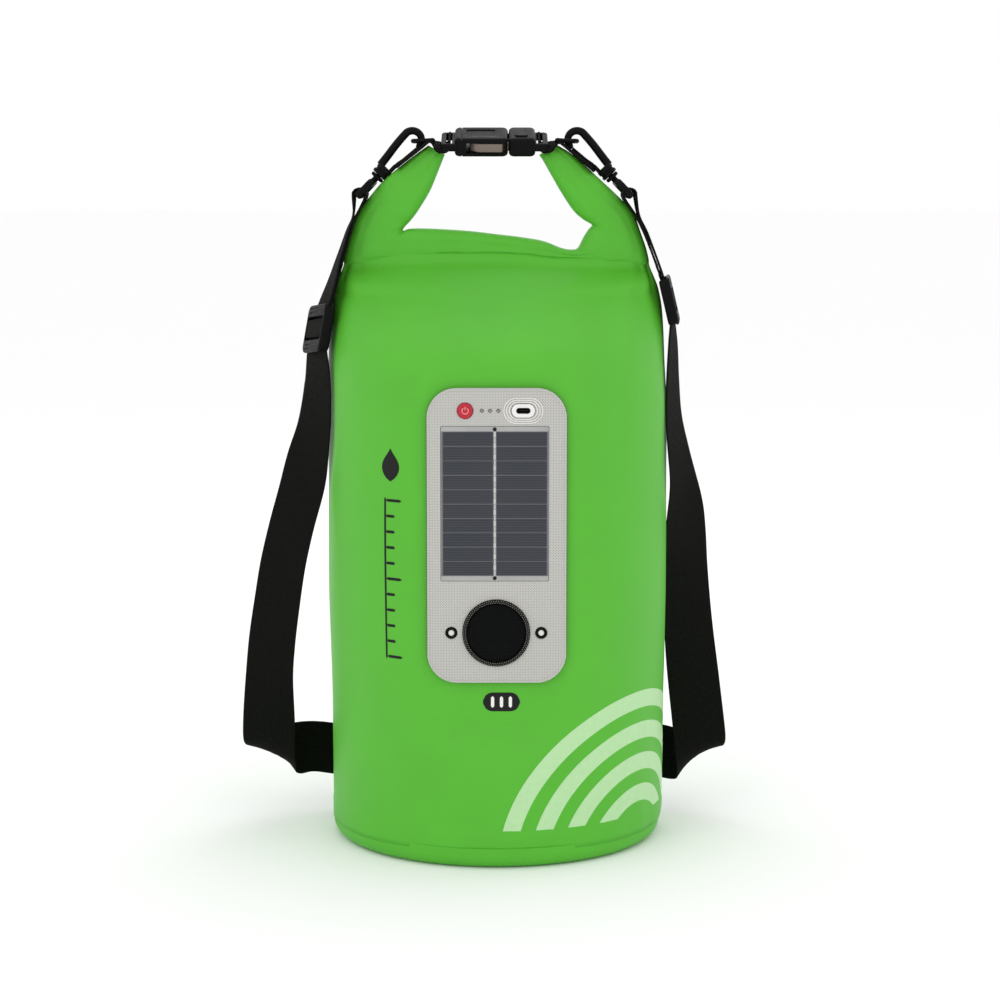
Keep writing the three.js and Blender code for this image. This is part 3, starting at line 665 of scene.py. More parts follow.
def creases(turn, height):
    """How far the cloth stands out or in, in millimetres. turn is in degrees from the front."""
    side = turn / 180 * math.pi
    x, y = math.sin(side), math.cos(side)
    at_module = ease(40, 28, abs(turn)) * ease(105, 125, height) * ease(350, 332, height)
    free = 1 - at_module
    slow = 0.9 * rough(1, 1.5 * x, 1.5 * y, height / 120)
    mid = 0.35 * rough(2, 4.2 * x, 4.2 * y, height / 46)
    foot = 0.35 * rough(3, 11 * x, 11 * y, height / 30) * ease(70, 18, height)
    bulge = 1.5 * hill(turn, 84, 18) * ease(6, 20, height) * ease(345, 300, height)
    total = (slow + mid - 0.3 + foot + bulge) * free
    gather = ease(318, 392, height) * ease(412, 402, height)
    for place, size, width in TOP_FOLDS:
        near = math.remainder(turn - place * (1.06 - 0.06 * ease(330, 404, height)), 360)
        total -= size * gather * hill(near, 0, width)
    return total


def bag_point(turn, height, out=0.0, creased=True):
    """A point of the bag's outside, turn degrees from the front towards +X."""
    radians = math.radians(turn)
    power = 2 + 2.5 * ease(384, 408, height)
    wide, deep = half_width(height), half_depth(height)
    s, c = math.sin(radians), math.cos(radians)
    x = wide * math.copysign(abs(s) ** (2 / power), s)
    y = -deep * math.copysign(abs(c) ** (2 / power), c)
    limit = FLAT_FRONT + 11.4 * (1 - ease(64, 100, height))
    flat = 3.0
    y = -((limit - y) - math.hypot(limit + y, flat)) / 2 if y < 0 else y
    grow = out + (creases(turn, height) if creased else 0)
    direction = unit((s * deep, -c * wide, 0.0))
    return np.array([x, y, height]) + grow * direction


def inside_rounded_rect(x, z, width, height, radius):
    dx, dz = abs(x) - (width / 2 - radius), abs(z) - (height / 2 - radius)
    return math.hypot(max(dx, 0), max(dz, 0)) < radius


MODULE = {"x": 0.3, "z": 227.8, "width": 93.4, "height": 199, "radius": 20}
THROAT = {"width": 84.5, "height": 188.5, "radius": 15}


def mouth_rise(x):
    """The mouth's edge stands higher up the roll on the left than on the right."""
    return 4.2 * ease(102, 60, abs(x)) * (1 - 0.85 * ease(10, 44, x))


def make_bag():
    columns = 216
    heights = steps_between(BASE["rim"] - 2.5, 60, 12)[:-1] + steps_between(60, 300, 56)[:-1]
    heights += steps_between(300, 410, 50)
    turns = [-180 + 360 * i / columns for i in range(columns)]
    points, lay = [], []
    for height in heights:
        # The lower hem laps over the base, and the top edge turns in over the roll.
        lap = 0.5 * ease(BASE["rim"] + 12, BASE["rim"] + 11, height)
        lip = -1.3 * ease(407, 410, height)
        for turn in turns:
            point = bag_point(turn, height, lap + lip)
            point[2] += mouth_rise(point[0]) * ease(384, 410, height)
            points.append(point)
            lay.append((turn * math.pi / 180 * 118, height))
    faces = []
    for face in grid_faces(len(heights), columns):
        middle = np.mean([points[i] for i in face], axis=0)
        hole = (middle[0] - MODULE["x"], middle[2] - MODULE["z"], *THROAT.values())
        if middle[1] > 0 or not inside_rounded_rect(*hole):
            faces.append(face)
    skin = piece_from(
        "bag_skin", points, faces, GREEN, "root", ["bag_body"], lay, 180
    )
    wall = skin.modifiers.new("wall", "SOLIDIFY")
    wall.thickness, wall.offset = WALL * MM, -1

    corner = BASE["radius"] - BASE["corner"]
    profile = [(0.01, 0)] + [(radius, 0) for radius in (30, 60, 90)]
    for turn in steps_between(0, math.pi / 2, 8):
        profile.append(
            (corner + BASE["corner"] * math.sin(turn), BASE["corner"] * (1 - math.cos(turn)))
        )
    profile += [(BASE["radius"], BASE["rim"]), (BASE["radius"] - 1.4, BASE["rim"])]
    for turn in steps_between(math.pi / 2, 0, 5):
        radius = BASE["corner"] - 1.4
        profile.append((corner + radius * math.sin(turn), BASE["corner"] - radius * math.cos(turn)))
    profile.append((0.01, 1.4))
    base = lathe(profile, 96)
    lay = [(x, y) for x, y, z in base.points]
    piece_from(
        "base_skin", base.points, base.faces, GREEN, "root", ["base_panel"], lay, 60
    )

    # The body's two edges lap up the back under a welded strip.
    rows = [z for z in heights if 26 < z < 396]
    strip, strip_lay = [], []
    for height in rows:
        for across, out in SEAM_SECTION:
            turn = 180 + math.degrees(across / max(half_width(height), 1))
            strip.append(bag_point(turn, height, out))
            strip_lay.append((across, height))
    faces, nodes = loft_faces(len(rows), 6), ["back_seam_tape"]
    piece_from("back_seam", strip, faces, GREEN, "root", nodes, strip_lay, 60)


# ---------------------------------------------------------------- rolled mouth
# Stations of the roll from its middle to a tip. Each has the outer edge's x and z, the inner
# edge's x and z, and the half thickness. The fan at the shoulder turns about the notch.
ROLL = {
    "left": [
        (0, 403.6, 0, 426.3, 8.9),
        (-18, 403.6, -17, 428.3, 9),
        (-38, 403.6, -35, 429.6, 9),
        (-56, 403.6, -51, 430.3, 9.1),
        (-72, 403.6, -61, 430, 9.4),
        (-88, 403.2, -64, 429, 9.7),
        (-100, 403, -65.2, 428.8, 9.9),
        (-106.8, 404.5, -65.6, 429.2, 9.8),
        (-106.2, 414, -65.4, 430, 9.5),
        (-102.6, 427, -63.8, 432, 9.2),
        (-96.8, 441.6, -59.4, 436.6, 8.8),
        (-88.8, 452.4, -54, 444, 8.4),
        (-78.6, 464, -46.4, 456.6, 7.6),
        (-66, 474.4, -41, 469.4, 6.8),
        (-55.2, 482.6, -37.6, 477.8, 5.8),
        (-47.6, 488, -36, 481.6, 4.4),
    ],
    "right": [
        (0, 403.6, 0, 426.3, 8.9),
        (18, 403.6, 17, 424.3, 9),
        (36, 403.6, 33, 421.5, 9),
        (52, 403.6, 46, 416.6, 9),
        (66, 403.6, 54, 415.6, 9.3),
        (82, 403.2, 57.5, 417.2, 9.7),
        (97.6, 403, 61, 424, 9.9),
        (106.6, 404.5, 64.6, 429.6, 9.8),
        (105.8, 414, 66.8, 432, 9.5),
        (101.6, 426.4, 66.2, 433.4, 9.2),
        (95.6, 441.6, 61, 436.4, 8.8),
        (86, 452, 54, 442.6, 8.4),
        (75, 462.2, 45.8, 454.6, 7.6),
        (63, 473.2, 38.2, 467.6, 6.8),
        (51.8, 482.6, 32.6, 477.4, 5.8),
        (42.6, 488.2, 29.8, 481.4, 4.4),
    ],
}
LAYER_GROOVES = [(-0.52, 0.55), (0.3, 0.7)]


def roll_section(outer, inner, half, run, seed):
    """Points round the rolled cloth, with the edges of its layers as shallow grooves."""
    centre, reach = (outer + inner) / 2, (inner - outer) / 2
    out_of_plane = np.array([0.0, 1.0, 0.0])
    points, lay = [], []
    count = 56
    for i in range(count):
        turn = 2 * math.pi * (i + 0.5) / count
        c, s = math.cos(turn), math.sin(turn)
        along = math.copysign(abs(c) ** 0.62, c)
        deep = math.copysign(abs(s) ** 0.62, s)
        thick = half * (1 + 0.05 * rough(seed, run / 22, c, s))
        thick += 0.45 * rough(seed + 5, run / 9, 2 * c, 2 * s)
        for place, depth in LAYER_GROOVES:
            wander = place + 0.09 * rough(seed + 9, run / 40)
            thick -= depth * hill(along, wander, 0.07)
        points.append(centre + along * reach + deep * thick * out_of_plane)
        lay.append((turn * 13, run))
    return points, lay


def make_roll():
    for seed, (side, rows) in enumerate(ROLL.items()):
        outer = spline([(row[0], 0, row[1]) for row in rows], 110)
        inner = spline([(row[2], 0, row[3]) for row in rows], 110)
        half = spline([(row[4], 0, 0) for row in rows], 110)[:, 0]
        points, lay, run = [], [], 0
        for i in range(len(outer)):
            ring, ring_lay = roll_section(outer[i], inner[i], half[i], run, 3 * (run > 30) * seed)
            points += ring
            lay += ring_lay
            if i + 1 < len(outer):
                middle = (outer[i + 1] + inner[i + 1] - outer[i] - inner[i]) / 2
                run += np.linalg.norm(middle) + 0.2
        nodes = [f"roll_arm_{side}"] + (["roll_middle"] if side == "left" else [])
        count = len(points) // len(outer)
        faces = loft_faces(len(outer), count)
        roll = piece_from(
            f"roll_{side}", points, faces, GREEN, None, nodes, lay, 70
        )
        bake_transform(roll)


# ---------------------------------------------------------------- shoulder straps
# Rows of x, y, z and the width's turn in degrees from the Y axis, from the top down.
STRAP = {
    "left": [
        (-98.8, -1, 441, 3),
        (-103.6, -3, 428, 5),
        (-111, -7.4, 405, 8),
        (-115.4, -9.4, 393, 11),
        (-122.4, -13, 371, 16),
        (-125.6, -17, 348, 22.5),
        (-125, -23, 324, 31),
        (-126.4, -25, 301, 38),
        (-130, -24, 279, 46),
        (-137, -14, 250, 56),
        (-145, -9, 222, 58),
        (-152, -5, 193, 60),
        (-157, 0, 164, 62),
        (-161.4, 5, 135, 65),
        (-164, 9, 106, 69),
    ],
    "right": [
        (97.8, 0, 441, 1),
        (104.4, 0, 428, 2),
        (113.4, 0, 405, 3),
        (118.2, 0, 393, 4),
        (123.4, 0, 371, 6),
        (124.6, -1, 350, 12),
        (124.4, -5, 324, 16),
        (125, -8.5, 299, 19.5),
        (128, -10, 277, 25),
        (131.6, -8, 255, 31),
        (133.6, -2, 234, 42),
        (135, 9, 212, 51),
        (136, 19, 191, 58),
        (137.4, 25, 170, 64),
        (139, 28, 148, 70),
        (141, 29, 127, 76),
        (143.4, 28.5, 105, 83),
    ],
}
# Where each strap starts to roll over, the roll's radius and angle, and its axis below the level.
CURL = {
    "left": {"start": (-165, 12, 64.5), "radius": 14, "turn": 115, "slope": 25},
    "right": {"start": (148.6, 26, 59.5), "radius": 12, "turn": 120, "slope": 36},
}
TAIL = {
    "left": [(137, 45, 49), (115, 54, 44.5), (105.8, 61.8, 44), (100.4, 69, 44.5), (93.8, 77.8, 45)],
    "right": [(114.5, 54, 46), (105.6, 61.6, 45.5), (100.4, 69, 45), (93.8, 77.8, 45)],
}
STRAP_WIDTH = 38
SLIDER = {"width": 44, "height": 34, "half": 3.8, "left": 360.5, "right": 380}
LOOP_END = 404
HOOK = {"left": 79.9, "right": 77.4, "z": 469.8, "angle": math.radians(44)}
CROWN, CROWN_RADIUS = 30.5, 6.4
EYE_BAR = 22.5


def width_way(sign, turn):
    return np.array([math.sin(math.radians(turn)), sign * math.cos(math.radians(turn)), 0.0])


def upper_strap(side, height, lift=0.0):
    """A point of the strap's upper stretch at a height, lifted away from the bag, and its width way."""
    sign, rows = SIDES[side], [(z, x, y, turn) for x, y, z, turn in STRAP[side][:7]][::-1]
    columns = [smooth_rows(rows, column) for column in (1, 2, 3)]
    here, above = ([column(z) for column in columns] for z in (height, height + 0.5))
    across = width_way(sign, here[2])
    place = np.array([here[0], here[1], height])
    up = unit(np.array([above[0], above[1], height + 0.5]) - place)
    out = unit(np.cross(across, up))
    out *= sign * np.sign(out[0])
    return place + lift * out, across, up, out


def curl_stations(side):
    """The strap rolls over a slanted line and heads for the back of the bag."""
    curl = CURL[side]
    sign, radius = SIDES[side], curl["radius"]
    lean = math.radians(curl["slope"])
    back = np.array([0.0, 1.0, 0.0])
    axis = np.array([-sign * math.cos(lean), 0.0, -math.sin(lean)])
    down = np.array([sign * math.sin(lean), 0.0, -math.cos(lean)])
    stations = []
    for psi in steps_between(0, math.radians(curl["turn"]), 6):
        ahead = math.cos(psi) * down + math.sin(psi) * back
        move = radius * (psi * math.tan(lean) * axis + math.sin(psi) * down)
        move += radius * (1 - math.cos(psi)) * back
        stations.append((curl["start"] + move, math.cos(lean) * axis - math.sin(lean) * ahead))
    return stations


def strap_stations(side):
    """From the sewn patch up to the swivel's bar, round it and back down beside itself."""
    sign = SIDES[side]
    hanging = [((x, y, z), -sign * width_way(sign, turn)) for x, y, z, turn in STRAP[side][3:]]
    tail = [((sign * x, y, z), np.array([0.0, 0.0, -1.0])) for x, y, z in TAIL[side]]
    lower = (hanging + curl_stations(side) + tail)[::-1]

    def strand(height, lift):
        place, across, up, out = upper_strap(side, height, lift)
        return place, -sign * across

    bar_x = HOOK[side] + EYE_BAR * math.sin(HOOK["angle"])
    bar_z = HOOK["z"] - EYE_BAR * math.cos(HOOK["angle"])
    loop = []
    for turn in map(math.radians, (-20, 40, 100, 160, 220)):
        place = (sign * (bar_x + 4.6 * math.cos(turn)), 0, bar_z + 4.6 * math.sin(turn))
        loop.append((place, -sign * width_way(sign, 0)))
    rising = [strand(height, 0.9) for height in (405, 416, 428, 439)]
    falling = [strand(height, -0.9) for height in (438.5, 428, 416, LOOP_END)]
    return lower + rising + loop + falling


STITCH_LENGTH, STITCH_PITCH, STITCH_RADIUS = 2.3, 3.1, 0.28


def stitches(name, rows, body, slot):
    """Thread laid along rows of (point, normal) pairs, one short bar after another."""
    shape = Shape()
    for row in rows:
        places = np.array([place for place, normal in row])
        normals = unit([normal for place, normal in row])
        run = run_along(places)
        for k in range(int((run[-1] - STITCH_LENGTH) / STITCH_PITCH) + 1):
            ends = []
            for share in (0.0, 0.25, 0.75, 1.0):
                at = k * STITCH_PITCH + share * STITCH_LENGTH
                place = np.array([np.interp(at, run, places[:, axis]) for axis in range(3)])
                normal = unit([np.interp(at, run, normals[:, axis]) for axis in range(3)])
                ends.append(place + normal * (0.25 if share in (0.25, 0.75) else -0.15))
            shape.join(tube(ends, STITCH_RADIUS, 5, 6))
    return shape.piece(name, THREAD, body, slot, sharp=80)


def box_and_cross(ribbon, low, high, out, inset=3.5):
    """Rows for a sewn box with a cross in it, on a ribbon between two runs along it."""
    side = ribbon.width / 2 - inset
    corners = [(-side, low), (side, low), (side, high), (-side, high), (-side, low)]
    lines = list(zip(corners, corners[1:])) + [(corners[0], corners[2]), (corners[1], corners[3])]
    rows = []
    for (a0, r0), (a1, r1) in lines:
        row = []
        for share in steps_between(0.02, 0.98, 14):
            place, normal, across = ribbon.spot(a0 + share * (a1 - a0), r0 + share * (r1 - r0), out)
            row.append((place, normal * (1 if out > 0 else -1)))
        rows.append(row)
    return rows


PATCH = {"low": 19.6, "high": 70.4, "start": 22.6, "end": 49.4, "radius": 119.6}


def patch_spot(sign, turn, z):
    way = np.array([sign * math.cos(math.radians(turn)), math.sin(math.radians(turn)), 0])
    return way * PATCH["radius"] + np.array([0, 0, z]), way


def make_anchor_patch(side):
    """The square of webbing that each strap's lower end is sewn to, and its border stitches."""
    sign, low, high = SIDES[side], PATCH["low"], PATCH["high"]
    middle, half = 36, 13.4
    turns = steps_between(PATCH["start"], PATCH["end"], 26)
    points, lay = [], []
    for turn in turns:
        way = patch_spot(sign, turn, 0)[1]
        lift = 0.0 if abs(turn - middle) / half < 0.97 else -0.35
        edges = [(118.2, low), (119.3 + lift, low + 0.2), (119.55 + lift, low + 1.2)]
        edges += [(119.55 + lift, high - 1.2), (119.3 + lift, high - 0.2), (118.2, high)]
        for radius, z in edges:
            points.append(way * radius + np.array([0, 0, z]))
            lay.append((z, turn * 2.08))
    name, nodes = f"anchor_patch_{side}", [f"strap_anchor_patch_{side}"]
    faces = loft_faces(len(turns), 6)
    piece_from(name, points, faces, WEB, "root", nodes, lay, 50)
    ends, heights = (24, 48), (low + 3, high - 3)
    rows = [[patch_spot(sign, turn, z) for turn in steps_between(*ends, 20)] for z in heights]
    rows += [[patch_spot(sign, turn, z) for z in steps_between(*heights, 20)] for turn in ends]
    stitches(f"patch_stitches_{side}", rows, "root", None)


def make_straps():
    for side, sign in SIDES.items():
        strap = Ribbon(strap_stations(side), STRAP_WIDTH, 1.6, 300, soft_below=325)
        nodes = [f"shoulder_strap_{side}", f"strap_upper_{side}"]
        made = strap.piece(f"strap_{side}", WEB, None, "black_webbing", nodes)
        start, end = (sign * 0.112, 0, 0.406), (sign * 0.104, 0, 0.44)
        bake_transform(made)

        # The end that is sewn round the slider's bar runs up beside the strap to meet its loop.
        sewn = []
        for height, lift in [(4, -3.3), (7, -2.8), (13, -1.6), (19, -1.6)]:
            sewn.append(upper_strap(side, SLIDER[side] + height, lift)[:2])
        sewn += [upper_strap(side, height, -1.2)[:2] for height in (LOOP_END - 6, LOOP_END + 1)]
        end_piece = Ribbon(sewn, STRAP_WIDTH - 0.4, 1.3, 60)
        made = end_piece.piece(f"strap_sewn_end_{side}", WEB, None, "black_webbing")
        start, end = (upper_strap(side, height)[0] * MM for height in (SLIDER[side] + 6, LOOP_END - 8))
        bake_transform(made)

        make_anchor_patch(side)
        cross = box_and_cross(strap, 4, 36, strap_outside(strap, 0.8))
        stitches(f"strap_stitches_{side}", cross, "root", "black_webbing")


def strap_outside(strap, lift):
    """lift, or minus it, whichever is away from the bag at the strap's sewn end."""
    place, normal, across = strap.spot(0, 10, 0)
    return lift if normal @ np.array([place[0], place[1], 0]) > 0 else -lift


# ---------------------------------------------------------------- sliders
def ease_edges(holder, width):
    eased = holder.modifiers.new("eased", "BEVEL")
    eased.width, eased.segments = width * MM, 2
    eased.limit_method, eased.angle_limit = "ANGLE", math.radians(40)


def carved(name, shape, cutters, finish, body, slot, nodes, bevel):
    """The shape with the cutters taken out of it, and its new edges eased."""
    holder = shape.piece(name + "_blank", finish, None, slot)
    for i, cutter in enumerate(cutters):
        tool = cutter.piece(f"{name}_cutter_{i}", finish, None, slot)
        cut = holder.modifiers.new("cut", "BOOLEAN")
        cut.object, cut.operation, cut.solver = tool, "DIFFERENCE", "EXACT"
    ease_edges(holder, bevel)
    bpy.context.view_layer.update()
    mesh = bpy.data.meshes.new_from_object(holder.evaluated_get(bpy.context.evaluated_depsgraph_get()))
    for modifier in list(holder.modifiers):
        if modifier.type == "BOOLEAN":
            bpy.data.objects.remove(modifier.object)
    bpy.data.objects.remove(holder)
    mesh.materials.clear()
    return finished(name, mesh, finish, body, nodes, 35)


def block(low, high):
    """A plain box between two corners, used to cut with."""
    (x0, y0, z0), (x1, y1, z1) = low, high
    corners = [(x0, y0), (x1, y0), (x1, y1), (x0, y1)]
    points = [(x, y, z) for z in (z0, z1) for x, y in corners]
    return Shape().add(points, loft_faces(2, 4))


def axes_matrix(x_way, y_way, z_way, origin):
    columns = [*zip(x_way, y_way, z_way, origin)]
    return Matrix([list(map(float, row)) for row in columns] + [[0, 0, 0, 1]])


def make_sliders():
    width, height, half = SLIDER["width"], SLIDER["height"], SLIDER["half"]
    for side, sign in SIDES.items():
        middle, across, up, out = upper_strap(side, SLIDER[side])
        place = axes_matrix(np.cross(up, out), up, out, middle)
        frame = slab([rounded_rect(width, height, 5.5)], -half, half, 1.5, 3)
        channel = 19.6
        cutters = [
            block((-channel, -height, -1.7), (channel, height, 1.7)),
            slab([rounded_rect(2 * channel, 17, 2)], 0, half + 1, 0.01, 1),
            block((-channel, -height, -half - 1), (channel, -4, 0)),
            block((-channel, 4, -half - 1), (channel, height, 0)),
        ]
        # Grip ribs across both end bars.
        for z in (-14.2, -11.6, 11.6, 14.2):
            cutters.append(slab([rounded_rect(30, 1.1, 0.5, 0, z)], half - 0.35, half + 1, 0.01, 1))
        for shape in [frame, *cutters]:
            shape.place(place)
        body, node = f"slider_{side}", f"strap_slider_{side}"
        carved(f"slider_frame_{side}", frame, cutters, BLACK, body, "black_plastic", [node], 0.25)
        fold = slab([rounded_rect(2 * channel - 1, 13, 3)], 1.35, half - 0.15, 1.1, 3)
        lay = [(x, y) for x, y, z in fold.points]
        fold.place(place)
        name = f"slider_fold_{side}"
        piece_from(name, fold.points, fold.faces, WEB, body, (), lay, 50)


# ---------------------------------------------------------------- snap hooks and rings
GATE_PIVOT = (4.2, 0, 7.8)


def ring_thickness(share):
    """The ring's bow swells a little at two opposite places."""
    return 1.6 + 0.15 * math.cos(4 * math.pi * share)


def make_hooks():
    # Each hook is drawn upright about its swivel's axis, with its gate towards +X.
    for side, sign in SIDES.items():
        mirror = Matrix.Diagonal((-sign, 1, 1, 1))
        place = mirror @ Matrix.Translation((-HOOK[side], 0, HOOK["z"]))
        place = place @ Matrix.Rotation(HOOK["angle"], 4, "Y")
        collar = lathe(
            [
                (3.7, -3.5), (5.2, -3.5), (5.8, -3), (5.8, -1.3), (5.1, -0.9), (5.1, 0.3),
                (5.8, 0.8), (5.8, 3), (5.1, 4), (0.01, 4), (0.01, 1.9), (3.7, 1.9),
            ],
            36,
            closed=True,
        )
        spine = [(-4, 0, 2.5), (-4.8, 0, 10), (-6, 0, 21)]
        arch = [
            (-CROWN_RADIUS * math.cos(turn), 0, CROWN + CROWN_RADIUS * math.sin(turn))
            for turn in steps_between(0, math.pi, 8)
        ]
        rod = tube(spine + arch, lambda share: 2.9 - 0.5 * share, 60, 16)
        hook = Shape().join(collar, rod)
        tip = lathe([(0.01, -2.2), (1.4, -1.9), (2.1, -0.8), (2.1, 0.4), (1.5, 1.4), (0.01, 1.7)], 20)
        tip.place(Matrix.Translation((CROWN_RADIUS, 0, CROWN)))
        hook.join(tip)
        for y in (-2.55, 2.55):
            ear = slab([rounded_rect(2.8, 7.6, 1.2, 3.9, 6.2)], -0.85, 0.85, 0.3)
            ear.place(Matrix.Translation((0, y, 0)) @ TO_FRONT)
            hook.join(ear)
        pivot = lathe([(0.01, -3.8), (0.8, -3.8), (1, -3.6), (1, 3.6), (0.8, 3.8), (0.01, 3.8)], 20)
        pivot.place(Matrix.Translation(GATE_PIVOT) @ TO_FRONT)
        hook.join(pivot)
        hook.place(place).piece(
            f"snap_hook_{side}", BLACK, f"hook_{side}", "black_plastic", [f"hook_{side}"], 50
        )

        lean = Matrix.Translation(GATE_PIVOT) @ Matrix.Rotation(math.radians(6.4), 4, "Y")
        outline = [(-1.5, -1.2), (1.2, -1.2), (1.3, 4), (1.25, 8), (1.25, 20.6)]
        outline += [(-1.25, 20.6), (-1.25, 8), (-1.7, 4)]
        gate = slab([outline], -1.6, 1.6, 0.5, 2).place(TO_FRONT)
        across_gate = Matrix.Rotation(math.pi / 2, 4, "Y") @ Matrix.Rotation(math.pi / 2, 4, "Z")
        for k in range(4):
            rib = slab([rounded_rect(0.7, 3, 0.3, 0, 0)], -0.3, 0.3, 0.1, 1)
            rib.place(Matrix.Translation((1.3, 0, 9.5 + 1.8 * k)) @ across_gate)
            gate.join(rib)
        gate.place(place @ lean).piece(
            f"hook_tongue_{side}", BLACK, f"gate_{side}", "black_plastic", [f"hook_gate_{side}"], 50
        )

        across = Matrix(((0, 0, 1), (1, 0, 0), (0, 1, 0))).to_4x4()
        outlines = [rounded_rect(46, 16, 5, 0, -16.5), rounded_rect(39.5, 8, 2.5, 0, -16.5)]
        eye = slab(outlines, -2.5, 2.5, 1.3, 3)
        eye.place(across)
        stem = lathe(
            [
                (0.01, -9.4), (2.2, -9.4), (2.2, -6.6), (4.3, -6.4), (4.9, -5.7), (4.9, -4.6), (4.3, -3.9),
                (2, -3.9), (2, 0.9), (1.6, 1.3), (0.01, 1.4),
            ],
            32,
        )
        eye.join(stem).place(place)
        eye.piece(f"eye_{side}", BLACK, f"{side}_arm", "black_plastic", [f"swivel_eye_{side}"], 50)

        half, shift = 8, 0.8 * (HOOK["left"] - HOOK[side])
        loop = [
            (-44.5, -half + 1.5), (-44.5, 0), (-44.5, half - 1.5), (-45.7, half), (-50.5, half),
            (-56.4, half * 0.62), (-58.3, 0), (-56.4, -half * 0.62), (-50.5, -half), (-45.7, -half),
        ]
        points = [(-sign * (x + shift), y, 491.4 + 0.03 * (x + 44.5)) for x, y in loop]
        bow = tube(points, ring_thickness, 72, 14, closed=True)
        bow.piece(f"ring_{side}", BLACK, f"d_ring_{side}", "black_plastic", [f"d_ring_{side}"], 60)


# ---------------------------------------------------------------- handle buckle
BUCKLE = {"z": 490.4, "tilt": math.radians(16), "half": 16.5, "thick": 13}
TO_BUCKLE = Matrix.Translation((0, 0, BUCKLE["z"])) @ Matrix.Rotation(BUCKLE["tilt"], 4, "X")


def make_buckle():
    half, thin = BUCKLE["half"], BUCKLE["thick"] / 2
    body = slab([rounded_rect(37, 2 * half, 4.5, -10.5, 0)], -thin, thin, 2.4, 4)
    end_frame = slab([rounded_rect(14, 2 * half - 0.6, 3, -31.5, 0)], -2.7, 2.7, 1.2, 3)
    body.join(end_frame)
    cutters = [
        block((-35.2, -13.4, -7), (-30.8, 13.4, 7)),
        block((-22, -13.4, -3.6), (9, 13.4, 3.6)),
        block((-21, -half - 2, -3.8), (5.5, half + 2, 3.4)),
        slab([rounded_rect(20, 17, 2.5, -11, 0)], thin - 0.6, thin + 1, 0.01, 1),
    ]
    for sign in (-1, 1):
        cutters.append(block((-24.6, -half - 1, sign * (thin - 0.9)), (-23.6, half + 1, sign * 8)))
    for shape in [body, *cutters]:
        shape.place(TO_BUCKLE)
    carved("buckle_female", body, cutters, BLACK, "left_arm", "black_plastic", ["buckle_socket"], 0.3)

    male = slab([rounded_rect(18.4, 2 * half, 4, 17.8, 0)], -thin, thin, 2.4, 4)
    tail = slab([rounded_rect(14, 2 * half - 0.6, 3, 28.8, 0)], -2.7, 2.7, 1.2, 3)
    guide = slab([rounded_rect(24, 6, 1.6, -1, 0)], -2, 2, 0.6, 2)
    male.join(tail, guide)
    cutters = [
        block((27.9, -13.4, -7), (32.3, 13.4, 7)),
        slab([rounded_rect(9, 20, 2, 17.4, 0)], thin - 0.5, thin + 1, 0.01, 1),
    ]
    for shape in [male, *cutters]:
        shape.place(TO_BUCKLE)
    carved("buckle_male", male, cutters, BLACK, "right_arm", "black_plastic", ["buckle_plug"], 0.3)

    # One side of a prong's outline, as x and y. Its pad fills the socket's side window.
    outline = [
        (8.4, 9.4), (8.4, 12.6), (6, 12.9), (4.8, 14), (4.2, 15.6), (3, 16.3), (-4.5, 16.3),
        (-12, 16), (-16.5, 13.6), (-18.4, 11.2), (-18.4, 9.8), (-16.8, 9.4), (-6, 9.8),
    ]
    for name, sign in (("front", -1), ("back", 1)):
        points = spline([(x, sign * y, 0) for x, y in outline], 60, closed=True)
        prong = slab([[(x, y) for x, y, z in points]], -3.2, 2.9, 0.6, 2)
        for k in range(4):
            x = -3 - 2.4 * k
            rib = tube([(x, sign * 15.6, -2.6), (x, sign * 15.9, 0), (x, sign * 15.6, 2.6)], 0.45, 6, 8)
            prong.join(rib)
        # The front prong is painted a brownish grey where the back prong is black.
        finish, node = (PRONG_FRONT_BROWN if name == "front" else BLACK), f"buckle_prong_{name}"
        prong.place(TO_BUCKLE)
        prong.piece(f"prong_{name}", finish, f"prong_{name}", "black_plastic", [node], 50)


# ---------------------------------------------------------------- webbing on the arms' tips
# The buckle's bar that each band is folded round, and the band's way down the arm as x and z.
RIM_BAR = {"left": -37, "right": -34.1}
RIM_RUN = {
    "left": [(-47, 490.4), (-53, 486), (-60, 480.6), (-66, 476), (-70, 472.8)],
    "right": [(-44.6, 489.6), (-51, 484.8), (-58.5, 478.4), (-64.5, 473.4), (-68.5, 470)],
}


def make_rim_webbing():
    tilt = BUCKLE["tilt"]
    tilted = np.array([0, math.cos(tilt), math.sin(tilt)])
    for side, sign in SIDES.items():
        wrap = [
            ((RIM_BAR[side] + x, -up * math.sin(tilt), BUCKLE["z"] + up * math.cos(tilt)), tilted)
            for x, up in [(4.4, 4), (4.3, 0), (3, -3.2), (0, -4.4), (-4.5, -3.2)]
        ]
        stations = wrap + [((x, 0, z), np.array([0, 1.0, 0])) for x, z in RIM_RUN[side]]
        stations = [((-sign * x, y, z), way) for (x, y, z), way in stations]
        band = Ribbon(stations, 25, 1.6, 90)
        body, node = f"{side}_arm", f"rim_webbing_{side}"
        band.piece(f"rim_band_{side}", WEB, body, "black_webbing", [node])
        face = 0.8 if (band.normals[len(band.normals) // 2] @ np.array([0, 0, 1.0])) > 0 else -0.8
        rows = box_and_cross(band, band.run[-1] - 17, band.run[-1] - 3, face, 3)
        stitches(f"rim_stitches_{side}", rows, body, "black_webbing")


# ---------------------------------------------------------------- solar and battery module
PLATE = {"front": -112.3, "back": -109.9}
WINDOW = {"x": -1, "z": 249.7, "width": 72, "height": 104}
CONTROL_Z = 312.2
BUTTON = {"x": -20.7, "radius": 5.2}
SOCKET = {"x": 18, "width": 15.6, "height": 9.2}
SPEAKER = {"z": 162.4, "radius": 22.8, "inner": 19.8}
LAMP_X = 30.2
# How far in the indicators, the socket's shell and the lamps' lenses reach.
FITTINGS_BACK = -104.3
LENS_BACK = -105


